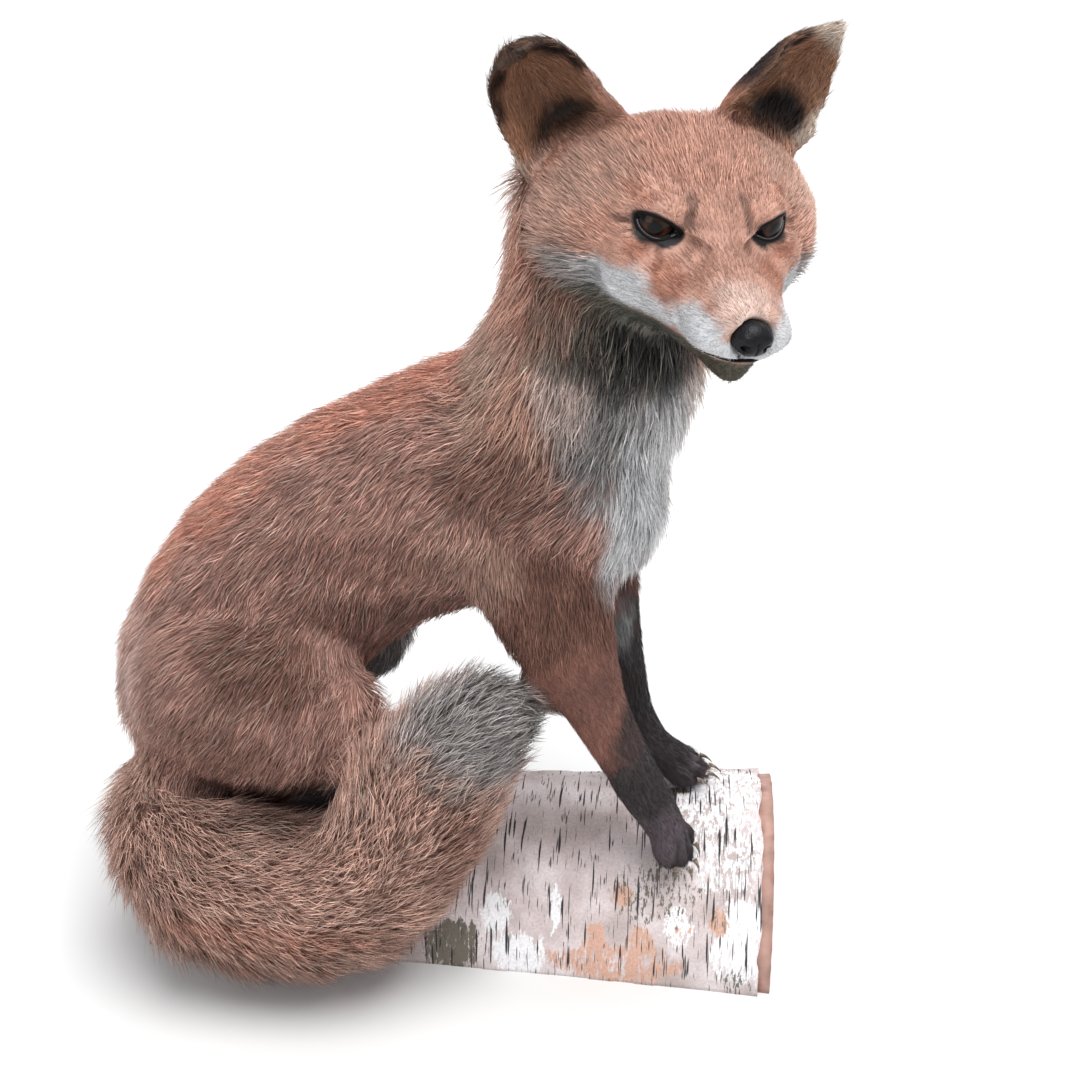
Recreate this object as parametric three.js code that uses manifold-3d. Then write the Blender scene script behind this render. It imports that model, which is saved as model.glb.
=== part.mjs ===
// A mounted red fox sitting on a half log of birch, with its tail laid round the front, as faceted solids.
// Millimetres, +Z up. The log lies along X and the fox faces +X, with its head turned to its right (-Y).
// The origin is the middle of the log's flat underside. Every solid reaches out to the tips of the coat.

import * as THREE from "three";
import { mergeVertices } from "three/addons/utils/BufferGeometryUtils.js";
import Module from "manifold-3d";

const wasm = await Module();
wasm.setup();

// ---- driving dimensions -------------------------------------------------------------------------

const GAP = 0.3; // left between solids that meet
const LOG_LENGTH = 374;
const LOG_RADIUS_REAR = 70;
const LOG_RADIUS_MIDDLE = 74;
const LOG_RADIUS_FRONT = 86;
const BARK = 4;
const WOOD_PROUD = 8; // how far the wood runs out past the bark at the front end
const HEAD_AT = [132, -78, 457]; // midway between the eyes
const HEAD_YAW = -70; // degrees from +X
const HEAD_PITCH = 13; // nose down
const HEAD_ROLL = 5; // left side down
const SKULL_BACK = -88; // in the head's own frame
const MUZZLE_END = 66;
const EYE_RADIUS = 11.5;
const EYE_MIDDLE = 1; // how far left the point midway between the eyeballs is
const EYE_AT = [-4.5, 24, 2.5];
const EYE_SPLAY = 26; // degrees that each eye looks out from straight ahead
const EAR_THICKNESS = 5;
const CLAW_RADIUS = 1.8;
const CLAW_LENGTH = 9;
const TAIL_HALF_HEIGHT = 52;
const TAIL_HALF_DEPTH = 44;
const ROUND_CAPS = [62, 32]; // angles of the rings that round a large end
const EYE_HOLLOW = [14, 16, 8]; // half sizes of the hollow round an eye
const EYE_HOLLOW_AHEAD = 11;
const NOSE_HALF_SIZE = [9, 11, 9];
const NOSE_BACK = 3; // how far the nose sits behind the muzzle's end
const CLAW_TILT = 0.3; // radians down from the way the toe points
const HALF_SPACE = 900; // side of the boxes that part one length from the next

// ---- making solids ------------------------------------------------------------------------------

const v3 = (x, y, z) => new THREE.Vector3(x, y, z);
const radians = THREE.MathUtils.degToRad;

// A closed geometry as a manifold-3d solid.
function solid(geometry) {
  const bare = geometry.index ? geometry.toNonIndexed() : geometry.clone();
  bare.deleteAttribute("normal");
  bare.deleteAttribute("uv");
  const merged = mergeVertices(bare, 1e-3);
  return new wasm.Manifold(
    new wasm.Mesh({
      numProp: 3,
      vertProperties: new Float32Array(merged.attributes.position.array),
      triVerts: new Uint32Array(merged.index.array),
    }),
  );
}

// A manifold-3d solid as a geometry.
function geometryOf(body) {
  const mesh = body.getMesh();
  const positions = new Float32Array(mesh.numVert * 3);
  for (let i = 0; i < mesh.numVert; i++) {
    positions.set(mesh.vertProperties.subarray(i * mesh.numProp, i * mesh.numProp + 3), i * 3);
  }
  return new THREE.BufferGeometry()
    .setAttribute("position", new THREE.BufferAttribute(positions, 3))
    .setIndex(new THREE.BufferAttribute(mesh.triVerts, 1));
}

// A solid through rings of points, all of one count, closed by a fan at each end.
function loft(rings) {
  const count = rings[0].length;
  const points = rings.flat();
  const middle = (ring) => ring.reduce((sum, p) => sum.add(p), v3(0, 0, 0)).divideScalar(count);
  const first = points.push(middle(rings[0])) - 1;
  const last = points.push(middle(rings[rings.length - 1])) - 1;
  const end = (rings.length - 1) * count;
  const faces = [];
  for (let j = 0; j < count; j++) {
    const next = (j + 1) % count;
    for (let row = 0; row < end; row += count) {
      faces.push(row + j, row + next, row + count + next);
      faces.push(row + j, row + count + next, row + count + j);
    }
    faces.push(first, next, j);
    faces.push(last, end + j, end + next);
  }
  return solid(new THREE.BufferGeometry().setFromPoints(points).setIndex(faces));
}

const spline = (points) => new THREE.CatmullRomCurve3(points, false, "catmullrom", 0.5);

// Rounded flesh along a curve. A joint is [x, y, z, half width, half height above, half height below],
// and the last may be left out. side is the direction of the width at the start, carried along without
// twisting, and caps are the angles of the rings that round each end.
// The maker that comes back takes how much larger to make it.
function flesh(joints, { side = [0, 1, 0], steps = 10, around = 16, blunt = 0.75, caps = [46] } = {}) {
  const path = spline(joints.map(([x, y, z]) => v3(x, y, z)));
  const size = spline(joints.map(([, , , width, above, below = above]) => v3(width, above, below)));
  const stations = [
    ...caps.map((cap) => ({ u: 0, cap: -cap })),
    ...Array.from({ length: steps + 1 }, (_, i) => ({ u: i / steps, cap: 0 })),
    ...caps.toReversed().map((cap) => ({ u: 1, cap })),
  ];
  return (grow = 0) => {
    const across = v3(...side);
    return loft(
      stations.map(({ u, cap }) => {
        const along = path.getTangent(u);
        across.addScaledVector(along, -across.dot(along)).normalize();
        const up = along.clone().cross(across);
        const { x: width, y: above, z: below } = size.getPoint(u);
        const share = Math.cos(radians(cap));
        const reach = (Math.min(width, above, below) * blunt + grow) * Math.sin(radians(cap));
        const centre = path.getPoint(u).addScaledVector(along, reach);
        return Array.from({ length: around }, (_, j) => {
          const angle = (j / around) * 2 * Math.PI;
          const height = Math.sin(angle) > 0 ? above : below;
          return centre
            .clone()
            .addScaledVector(across, Math.cos(angle) * (width + grow) * share)
            .addScaledVector(up, Math.sin(angle) * (height + grow) * share);
        });
      }),
    );
  };
}

const joined = (...makers) => (grow = 0) => makers.map((make) => make(grow)).reduce((a, b) => a.add(b));
const mirrored = (joints) => joints.map(([x, y, ...rest]) => [x, -y, ...rest]);

// A smooth value read off [position, value] pairs.
function profile(pairs) {
  const curve = spline(pairs.map(([at, value]) => v3(at, value, 0)));
  return (at) => {
    let low = 0;
    let high = 1;
    for (let i = 0; i < 24; i++) {
      const middle = (low + high) / 2;
      if (curve.getPoint(middle).x < at) low = middle;
      else high = middle;
    }
    return curve.getPoint(low).y;
  };
}

const ellipsoid = (radii, place, around = 12) =>
  solid(new THREE.SphereGeometry(1, around, Math.round(around / 2)).scale(...radii).applyMatrix4(place));

// ---- the log ------------------------------------------------------------------------------------

const logRadius = profile([
  [-LOG_LENGTH / 2, LOG_RADIUS_REAR],
  [0, LOG_RADIUS_MIDDLE],
  [LOG_LENGTH / 2, LOG_RADIUS_FRONT],
]);

// A half round from x0 to x1, cut flat at z = 0, whose radius is the log's plus extra.
function halfRound(x0, x1, extra) {
  const steps = 4;
  const around = 18;
  const rings = Array.from({ length: steps + 1 }, (_, i) => {
    const x = x0 + ((x1 - x0) * i) / steps;
    const radius = logRadius(x) + extra;
    return Array.from({ length: around + 1 }, (_, j) => {
      const angle = (j / around) * Math.PI;
      return v3(x, Math.cos(angle) * radius, Math.sin(angle) * radius);
    });
  });
  return loft(rings);
}

const rearEnd = -LOG_LENGTH / 2;
const frontEnd = LOG_LENGTH / 2;
const barkEnd = frontEnd - WOOD_PROUD;
const logWood = () => halfRound(rearEnd, frontEnd, -BARK - GAP);
const logBark = () => halfRound(rearEnd, barkEnd, 0).subtract(halfRound(rearEnd - 1, frontEnd, -BARK));
const wholeLog = (grow = 0) => halfRound(rearEnd - grow, frontEnd + grow, grow);

// ---- trunk and neck -----------------------------------------------------------------------------

const trunk = flesh(
  [
    [-160, 2, 104, 44, 47, 46],
    [-152, 2, 138, 56, 64, 58],
    [-130, 1, 178, 64, 71, 64],
    [-94, 0, 222, 62, 75, 66],
    [-52, -3, 257, 59, 73, 66],
    [-6, -8, 283, 62, 73, 72],
    [38, -15, 298, 62, 76, 78],
    [76, -25, 304, 56, 64, 66],
  ],
  { steps: 10, around: 18, caps: ROUND_CAPS },
);

const neck = flesh(
  [
    [28, -12, 312, 53, 52, 76],
    [54, -20, 352, 56, 50, 76],
    [74, -28, 392, 56, 50, 66],
    [84, -30, 430, 50, 54, 50],
    [88, -30, 458, 42, 56, 40],
  ],
  { steps: 6, around: 16, blunt: 0.5 },
);

// ---- head, in a frame of its own: x forward, y to the fox's left, z up, 0 midway between the eyes

const headFrame = new THREE.Matrix4()
  .makeTranslation(...HEAD_AT)
  .multiply(new THREE.Matrix4().makeRotationZ(radians(HEAD_YAW)))
  .multiply(new THREE.Matrix4().makeRotationY(radians(HEAD_PITCH)))
  .multiply(new THREE.Matrix4().makeRotationX(radians(-HEAD_ROLL)));
const inHead = (point) => point.applyMatrix4(headFrame);
const onHead = (x, y, z) => headFrame.clone().multiply(new THREE.Matrix4().makeTranslation(x, y, z));

const headTop = profile([
  [-88, 12], [-70, 26], [-50, 32], [-28, 29], [-8, 22],
  [8, 12], [24, 2], [44, -5], [58, -9], [66, -15],
]);
const headBottom = profile([
  [-88, -34], [-70, -54], [-45, -63], [-15, -58], [10, -49], [34, -43], [52, -41], [66, -36],
]);
const headHalfWidth = profile([
  [-88, 50], [-70, 69], [-48, 77], [-28, 74], [-8, 61], [8, 45],
  [22, 34], [40, 27], [56, 23], [62, 19], [66, 12],
]);
const headWidest = profile([[-88, -16], [-50, -24], [-10, -26], [20, -25], [66, -27]]);

function skull(grow = 0) {
  const steps = 13;
  const around = 18;
  return loft(
    Array.from({ length: steps + 1 }, (_, i) => {
      const t = i / steps;
      const share = 0.6 * t + 0.4 * Math.sin((t * Math.PI) / 2);
      const x = SKULL_BACK + (MUZZLE_END - SKULL_BACK) * share;
      const middle = headWidest(x);
      return Array.from({ length: around }, (_, j) => {
        const angle = (j / around) * 2 * Math.PI;
        const tall = Math.sin(angle) > 0 ? headTop(x) - middle : middle - headBottom(x);
        const y = Math.cos(angle) * (headHalfWidth(x) + grow);
        return inHead(v3(x, y, middle + Math.sin(angle) * (tall + grow)));
      });
    }),
  );
}

const jaw = flesh(
  [[-20, 0, -48, 30, 8], [8, 0, -46, 23, 9], [34, 0, -44, 16, 9], [53, 0, -43, 12, 8]],
  { steps: 5, around: 12 },
);
const lowerJaw = (grow = 0) => jaw(grow).transform(headFrame.elements);
const noseFrame = onHead(MUZZLE_END - NOSE_BACK, 1, -23);
const nose = (grow = 0) => ellipsoid(NOSE_HALF_SIZE.map((half) => half + grow), noseFrame);

// side is 1 for the fox's left and -1 for its right.
const eyeFrame = (side) =>
  onHead(EYE_AT[0], EYE_MIDDLE + side * EYE_AT[1], EYE_AT[2]).multiply(
    new THREE.Matrix4().makeRotationZ(radians(side * EYE_SPLAY)),
  );
const eye = (side) => (grow = 0) => {
  const radius = EYE_RADIUS + grow;
  return ellipsoid([radius, radius, radius], eyeFrame(side));
};

// The hollow round an eye, opening forwards.
const eyeHollow = (side) =>
  ellipsoid(
    EYE_HOLLOW,
    eyeFrame(side).multiply(new THREE.Matrix4().makeTranslation(EYE_HOLLOW_AHEAD, 0, 0)),
    10,
  );

// A cupped ear. course is [how far to the tip, how far forward] along its length.
function ear({ root, tip, width, course }) {
  const axis = v3(...tip).sub(v3(...root));
  const outward = Math.sign(root[1]);
  const forward = v3(0.95, outward * 0.22, 0.1);
  forward.addScaledVector(axis, -forward.dot(axis) / axis.lengthSq()).normalize();
  const across = axis.clone().cross(forward).normalize();
  const path = spline(
    course.map(([far, ahead]) => v3(...root).addScaledVector(axis, far).addScaledVector(forward, ahead)),
  );
  const halfWidth = profile([[0, 1], [0.3, 0.98], [0.6, 0.72], [0.85, 0.32], [1, 0.12]]);
  const cup = profile([[0, 20], [0.4, 16], [0.75, 8], [1, 1]]);
  const steps = 7;
  const spread = 6;
  return (grow = 0) =>
    loft(
      Array.from({ length: steps + 1 }, (_, i) => {
        const t = i / steps;
        const along = path.getTangent(t);
        const facing = across.clone().cross(along);
        const half = halfWidth(t) * width + grow;
        const thick = EAR_THICKNESS / 2 + grow;
        const point = (s, lift) =>
          inHead(
            path
              .getPoint(t)
              .addScaledVector(across, s * half)
              .addScaledVector(facing, lift - cup(t) * (1 - s * s)),
          );
        const front = Array.from({ length: spread + 1 }, (_, j) => point((2 * j) / spread - 1, thick));
        const back = Array.from({ length: spread + 1 }, (_, j) => point(1 - (2 * j) / spread, -thick));
        return [...front, ...back];
      }),
    );
}

const earRight = ear({
  root: [-54, -47, 4],
  tip: [-72, -87, 54],
  width: 30,
  course: [[0, 0], [0.4, 1], [0.74, 0], [0.9, 4], [0.88, 11]],
});
const earLeft = ear({
  root: [-54, 36, 12],
  tip: [-70, 80, 72],
  width: 28,
  course: [[0, 0], [0.4, 2], [0.75, 1], [1, 0]],
});

// ---- legs ---------------------------------------------------------------------------------------

// A paw's four toes and their claws, spread across the way it points, from where its toes begin.
function toes(at, heading, { size = 8, spread = 9 } = {}) {
  const ahead = v3(...heading).normalize();
  const across = v3(0, 0, 1).cross(ahead).normalize();
  const up = ahead.clone().cross(across);
  const turn = new THREE.Matrix4().makeBasis(ahead, across, up);
  return (grow = 0) =>
    [-1.5, -0.5, 0.5, 1.5]
      .map((place) => {
        const set = 4 - place * place * 3;
        const centre = v3(...at).addScaledVector(across, place * spread).addScaledVector(ahead, set);
        const frame = new THREE.Matrix4().makeTranslation(centre).multiply(turn);
        const toe = ellipsoid([size * 1.5 + grow, size * 0.72 + grow, size + grow], frame, 6);
        const claw = new THREE.ConeGeometry(CLAW_RADIUS + grow, CLAW_LENGTH, 4)
          .rotateZ(-Math.PI / 2 - CLAW_TILT)
          .translate(size * 1.5 + 1, 0, -1)
          .applyMatrix4(frame);
        return toe.add(solid(claw));
      })
      .reduce((a, b) => a.add(b));
}

const foreRight = {
  upper: flesh(
    [[34, -48, 304, 24, 42], [50, -58, 262, 26, 42], [62, -64, 222, 24, 32]],
    { steps: 5, around: 14 },
  ),
  lower: flesh(
    [[66, -66, 218, 23, 29], [83, -62, 176, 17, 19], [104, -56, 130, 15, 16]],
    { steps: 4, around: 12 },
  ),
  paw: joined(
    flesh(
      [[105, -56, 128, 14, 16], [118, -54, 104, 15, 13], [128, -55, 87, 16, 10]],
      { steps: 3, around: 10 },
    ),
    toes([129, -56, 83], [0.62, -0.3, -0.72]),
  ),
};
const foreLeft = {
  upper: flesh(
    [[40, 36, 298, 23, 40], [60, 38, 256, 23, 38], [76, 30, 214, 21, 27]],
    { steps: 5, around: 14 },
  ),
  lower: flesh(
    [[79, 28, 212, 20, 25], [88, 22, 178, 16, 18], [98, 17, 132, 14, 15]],
    { steps: 4, around: 12 },
  ),
  paw: joined(
    flesh(
      [[98, 16, 130, 14, 15], [110, 15, 106, 15, 14], [128, 14, 95, 16, 11]],
      { steps: 3, around: 10 },
    ),
    toes([134, 14, 91], [0.98, -0.05, -0.12]),
  ),
};

const HIND_RIGHT = {
  thigh: [
    [-158, -34, 156, 38, 52, 44],
    [-124, -50, 164, 44, 66, 56],
    [-82, -58, 164, 38, 54, 50],
    [-56, -62, 166, 25, 34, 32],
  ],
  shank: [[-62, -56, 150, 22, 26], [-104, -50, 122, 21, 24], [-136, -44, 100, 17, 19]],
  foot: [
    [-142, -40, 90, 16, 17],
    [-98, -38, 82, 17, 13],
    [-52, -36, 80, 18, 11],
    [-24, -34, 81, 17, 9],
  ],
};
const hindLeg = ({ thigh, shank, foot }) => {
  const [x, y, z] = foot[foot.length - 1];
  return {
    thigh: flesh(thigh, { steps: 5, around: 14, caps: ROUND_CAPS }),
    shank: flesh(shank, { steps: 3, around: 10 }),
    foot: joined(flesh(foot, { steps: 3, around: 8 }), toes([x + 6, y, z - 1], [1, 0, -0.05])),
  };
};
const hindRight = hindLeg(HIND_RIGHT);
const hindLeft = hindLeg({
  thigh: mirrored(HIND_RIGHT.thigh),
  shank: mirrored(HIND_RIGHT.shank),
  foot: mirrored(HIND_RIGHT.foot),
});

// ---- tail ---------------------------------------------------------------------------------------

// A joint of the tail, its coat a share of its full size.
const tailJoint = (x, y, z, share) => [x, y, z, share * TAIL_HALF_DEPTH, share * TAIL_HALF_HEIGHT];
const wholeTail = flesh(
  [
    tailJoint(-174, -8, 112, 0.5),
    tailJoint(-175, -44, 94, 0.76),
    tailJoint(-156, -82, 76, 0.96),
    tailJoint(-114, -100, 63, 1.02),
    tailJoint(-66, -102, 64, 1.02),
    tailJoint(-32, -98, 92, 0.98),
    tailJoint(-8, -90, 136, 0.94),
    tailJoint(10, -82, 170, 0.8),
    tailJoint(36, -80, 182, 0.5),
  ],
  { steps: 13, around: 16, side: [-1, 0, 0], caps: ROUND_CAPS },
);

// Everything on the far side of a plane through at that faces along.
function beyond(at, along) {
  const turn = new THREE.Quaternion().setFromUnitVectors(v3(1, 0, 0), v3(...along).normalize());
  const box = new THREE.BoxGeometry(HALF_SPACE, HALF_SPACE, HALF_SPACE);
  box.translate(HALF_SPACE / 2 + GAP / 2, 0, 0);
  return solid(box.applyQuaternion(turn).translate(...at));
}

const TAIL_CUT_REAR = [[-118, -98, 64], [1, -0.1, -0.1]];
const TAIL_CUT_FRONT = [[-20, -96, 108], [0.5, 0.1, 0.85]];
const back = ([at, along]) => beyond(at, along.map((value) => -value));
const tailBase = (grow = 0) => wholeTail(grow).intersect(back(TAIL_CUT_REAR));
const tailFront = (grow = 0) => wholeTail(grow).intersect(beyond(...TAIL_CUT_REAR));
const tailMiddle = (grow = 0) => tailFront(grow).intersect(back(TAIL_CUT_FRONT));
const tailTip = (grow = 0) => tailFront(grow).intersect(beyond(...TAIL_CUT_FRONT));

// ---- materials ----------------------------------------------------------------------------------

const coat = (color) => new THREE.MeshStandardMaterial({ color, roughness: 0.85, metalness: 0 });
const redCoat = coat(0xa9643f);
const greyCoat = coat(0x8c6a55);
const blackCoat = coat(0x2c2222);
const whiteCoat = coat(0xcfc6bd);
const glass = new THREE.MeshStandardMaterial({ color: 0x1c0f0a, roughness: 0.05, metalness: 0 });
const noseLeather = new THREE.MeshStandardMaterial({ color: 0x14141a, roughness: 0.45, metalness: 0 });
const birchBark = new THREE.MeshStandardMaterial({ color: 0xcfc4bd, roughness: 0.7, metalness: 0 });
const innerWood = new THREE.MeshStandardMaterial({ color: 0xb9764f, roughness: 0.8, metalness: 0 });

// ---- the nodes ----------------------------------------------------------------------------------

const group = new THREE.Group();

function addNode(name, body, material) {
  const mesh = new THREE.Mesh(geometryOf(body), material);
  mesh.name = name;
  group.add(mesh);
}

// Flesh nodes in order. Each gives way to those before it by the gap.
const before = [wholeLog, eye(-1), eye(1), nose];
function addFlesh(name, make, material, hollows = []) {
  const whole = hollows.reduce((left, hollow) => left.subtract(hollow), make(0));
  addNode(name, before.reduce((left, other) => left.subtract(other(GAP)), whole), material);
  before.push(make);
}

addNode("log_wood", logWood(), innerWood);
addNode("log_bark", logBark(), birchBark);
addNode("eye_right", eye(-1)(), glass);
addNode("eye_left", eye(1)(), glass);
addNode("nose", nose(), noseLeather);
addFlesh("head", skull, redCoat, [eyeHollow(-1), eyeHollow(1)]);
addFlesh("jaw", lowerJaw, whiteCoat);
addFlesh("ear_right", earRight, blackCoat);
addFlesh("ear_left", earLeft, blackCoat);
addFlesh("neck", neck, redCoat);
addFlesh("trunk", trunk, redCoat);
for (const [side, fore] of [["right", foreRight], ["left", foreLeft]]) {
  addFlesh(`upper_arm_${side}`, fore.upper, redCoat);
  addFlesh(`forearm_${side}`, fore.lower, redCoat);
  addFlesh(`forepaw_${side}`, fore.paw, blackCoat);
}
for (const [side, hind] of [["right", hindRight], ["left", hindLeft]]) {
  addFlesh(`thigh_${side}`, hind.thigh, greyCoat);
  addFlesh(`shank_${side}`, hind.shank, greyCoat);
  addFlesh(`hind_foot_${side}`, hind.foot, blackCoat);
}
const bodyBefore = [...before];
for (const [name, make] of [["tail_base", tailBase], ["tail_middle", tailMiddle], ["tail_tip", tailTip]]) {
  addNode(name, bodyBefore.reduce((left, other) => left.subtract(other(GAP)), make(0)), greyCoat);
}

export default group;
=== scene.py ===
# A mounted red fox sitting on a half log of birch: skin, coat, eyes, nose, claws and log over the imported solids.
# Metres, +Z up. The log lies along X and the fox faces +X, with its head turned to its right (-Y).

import itertools
import math

import bmesh
import bpy
import numpy as np
from mathutils import Matrix, Vector
from mathutils.bvhtree import BVHTree
from mathutils.kdtree import KDTree


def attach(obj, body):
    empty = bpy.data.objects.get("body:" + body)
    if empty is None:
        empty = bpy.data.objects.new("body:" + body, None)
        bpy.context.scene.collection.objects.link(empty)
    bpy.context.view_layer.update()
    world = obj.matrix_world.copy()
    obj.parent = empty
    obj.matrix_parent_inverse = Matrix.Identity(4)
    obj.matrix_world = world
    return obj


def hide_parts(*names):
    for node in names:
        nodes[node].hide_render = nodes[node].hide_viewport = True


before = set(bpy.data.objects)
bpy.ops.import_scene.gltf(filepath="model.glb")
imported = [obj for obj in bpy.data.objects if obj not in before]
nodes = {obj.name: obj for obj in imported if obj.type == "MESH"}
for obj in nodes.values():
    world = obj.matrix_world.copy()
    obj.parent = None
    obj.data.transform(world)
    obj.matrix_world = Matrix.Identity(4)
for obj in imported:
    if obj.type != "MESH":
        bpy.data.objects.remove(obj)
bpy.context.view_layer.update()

# ---- driving values ------------------------------------------------------------------------------

MM = 0.001
SEED = 7
VOXEL = 3.1 * MM  # the skin's mesh before the head is made finer
SEAM = 0.6 * MM  # how far each solid is swelled, so that the skin closes the gaps between them
SINK = 0.05  # how deep a tuft's root sits in the skin, as a share of its length
PATCH = 0.003  # size of a tuft's patch on its piece's own map
PIECE_LIMIT = 185000  # triangles in one coat piece
TUFT_SHARE = 1.0

HEAD_AT = Vector((132, -78, 457)) * MM  # midway between the eyes
HEAD_YAW = -70
HEAD_PITCH = 13
HEAD_ROLL = -5
NOSE_AT = Vector((63, 3.2, -23)) * MM  # in the head's own frame: x forward, y to its left, z up
EYE_MIDDLE = 1 * MM
EYE_AT = Vector((-4.2, 25.6, 0.6)) * MM
EYE_RADIUS = 11.5 * MM
EYE_SPLAY = 25
EARS = {
    "right": {"root": (-54, -47, 4), "tip": (-72, -87, 54), "width": 30},
    "left": {"root": (-54, 36, 12), "tip": (-70, 80, 72), "width": 28},
}
LOG_LENGTH = 374 * MM
LOG_RADIUS = 74 * MM  # at the middle
LOG_TAPER = 8 * MM
LOG_FLARE = 4 * MM
BARK_THICKNESS = 4 * MM
WOOD_PROUD = 8 * MM

# The lines that run through the flesh, in millimetres, in the way the hair lies.
BONES = {
    "neck": [(88, -30, 470), (84, -30, 430), (74, -28, 392), (54, -20, 352), (28, -12, 312)],
    "trunk": [
        (84, -26, 306), (38, -15, 298), (-6, -8, 283), (-52, -3, 257),
        (-94, 0, 222), (-130, 1, 178), (-152, 2, 138), (-160, 2, 104),
    ],
    "upper_arm_right": [(34, -48, 304), (50, -58, 262), (62, -64, 222)],
    "forearm_right": [(66, -66, 218), (83, -62, 176), (104, -56, 130)],
    "forepaw_right": [(105, -56, 128), (118, -54, 104), (132, -57, 80)],
    "upper_arm_left": [(40, 36, 298), (60, 38, 256), (76, 30, 214)],
    "forearm_left": [(79, 28, 212), (88, 22, 178), (98, 17, 132)],
    "forepaw_left": [(98, 16, 130), (110, 15, 106), (128, 14, 95), (146, 13, 89)],
    "thigh_right": [(-158, -34, 156), (-124, -50, 164), (-82, -58, 164), (-56, -62, 166)],
    "shank_right": [(-62, -56, 150), (-104, -50, 122), (-136, -44, 100)],
    "hind_foot_right": [(-142, -40, 90), (-98, -38, 82), (-52, -36, 80), (-10, -34, 80)],
    "tail": [
        (-174, -8, 112), (-175, -44, 94), (-156, -82, 76), (-114, -100, 63), (-66, -102, 64),
        (-32, -98, 92), (-8, -90, 136), (10, -82, 170), (44, -80, 186),
    ],
}
for limb in ("thigh", "shank", "hind_foot"):
    BONES[f"{limb}_left"] = [(x, -y, z) for x, y, z in BONES[f"{limb}_right"]]


def coat(depth, length, width, lift, thickness, lock, segments, piece, curl=0.2):
    """How the hair of one region grows: depth, length and width in millimetres, lift in degrees,
    thickness in tufts to a square centimetre, how strongly tufts gather in locks, and how far
    they stray to the side."""
    return {
        "depth": depth * MM, "length": length * MM, "width": width * MM, "lift": math.radians(lift),
        "thickness": thickness, "lock": lock, "segments": segments, "piece": piece, "curl": curl,
    }


COAT = {
    "muzzle": coat(0.9, 6.0, 0.40, 20, 110, 0.10, 1, "face"),
    "crown": coat(3.0, 10.5, 0.42, 21, 76, 0.20, 2, "head"),
    "cheek": coat(5.5, 19, 0.52, 30, 58, 0.25, 2, "head", 0.3),
    "chin": coat(1.6, 5, 0.40, 22, 90, 0.10, 1, "face"),
    "ear_back": coat(0.6, 5, 0.42, 14, 58, 0.10, 1, "ears"),
    "ear_inside": coat(0.6, 10, 0.36, 26, 37, 0.20, 2, "ears", 0.3),
    "neck": coat(7.0, 25, 0.60, 34, 41, 0.22, 2, "neck", 0.36),
    "trunk": coat(5.5, 19, 0.60, 28, 39, 0.22, 2, "trunk", 0.34),
    "upper_arm": coat(3.6, 13, 0.54, 24, 44, 0.20, 2, "shoulders", 0.28),
    "forearm": coat(2.0, 9, 0.48, 18, 62, 0.15, 1, "forelegs"),
    "forepaw": coat(1.0, 7, 0.42, 18, 85, 0.10, 1, "feet"),
    "thigh": coat(4.6, 17, 0.60, 28, 39, 0.22, 2, "thighs", 0.36),
    "shank": coat(3.0, 12, 0.55, 22, 42, 0.20, 2, "thighs"),
    "hind_foot": coat(1.4, 6, 0.46, 16, 50, 0.10, 1, "feet"),
    "tail": coat(12, 29, 0.60, 50, 42, 0.18, 2, "tail", 0.45),
}
HEAD_REGIONS = ("muzzle", "crown", "cheek", "chin")
PAIRED = ("upper_arm", "forearm", "forepaw", "thigh", "shank", "hind_foot")
REGIONS = [*HEAD_REGIONS, "ear_back_right", "ear_back_left", "ear_inside_right", "ear_inside_left"]
REGIONS += ["neck", "trunk", "tail"]
REGIONS += [f"{limb}_{side}" for limb in PAIRED for side in ("right", "left")]
FLESH = [
    "head", "jaw", "ear_right", "ear_left", "neck", "trunk", "tail_base", "tail_middle", "tail_tip",
    *[f"{limb}_{side}" for limb in PAIRED for side in ("right", "left")],
]

FILLED = [*FLESH, "eye_right", "eye_left"]  # solids that the skin is first laid over


def kind(region):
    return region.removesuffix("_right").removesuffix("_left")


# ---- numbers -------------------------------------------------------------------------------------


def log_radius(x):
    share = x / (LOG_LENGTH / 2)
    return LOG_RADIUS + LOG_TAPER * share + LOG_FLARE * share * share


def unit(vectors):
    return vectors / np.maximum(np.linalg.norm(vectors, axis=-1, keepdims=True), 1e-9)


def ease(low, high, value):
    """0 below low, 1 above high, and smooth between them."""
    share = np.clip((value - low) / (high - low), 0, 1)
    return share * share * (3 - 2 * share)


def noise(points, size, seed=0):
    """Smooth noise from -1 to 1 whose lumps are about size across."""
    place = points / size + seed * 17.31
    cell = np.floor(place).astype(np.int64)
    part = place - cell
    part = part * part * (3 - 2 * part)
    total = np.zeros(len(points))
    for corner in itertools.product((0, 1), repeat=3):
        x, y, z = (cell + corner).T
        mixed = (x * 73856093) ^ (y * 19349663) ^ (z * 83492791)
        mixed = ((mixed ^ (mixed >> 13)) * 1274126177) & 0x7FFFFFFF
        value = ((mixed >> 8) & 0xFFFF) / 32767.5 - 1
        total += value * np.prod(np.where(corner, part, 1 - part), axis=1)
    return total


head_frame = (
    Matrix.Translation(HEAD_AT)
    @ Matrix.Rotation(math.radians(HEAD_YAW), 4, "Z")
    @ Matrix.Rotation(math.radians(HEAD_PITCH), 4, "Y")
    @ Matrix.Rotation(math.radians(HEAD_ROLL), 4, "X")
)
HEAD_AXES = np.array(head_frame.to_3x3())
HEAD_ORIGIN = np.array(head_frame.translation)


def to_head(points):
    """Points in the head's own frame."""
    return (points - HEAD_ORIGIN) @ HEAD_AXES


def from_head(points):
    return points @ HEAD_AXES.T + HEAD_ORIGIN


def turn_from_head(vectors):
    return vectors @ HEAD_AXES.T


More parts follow.
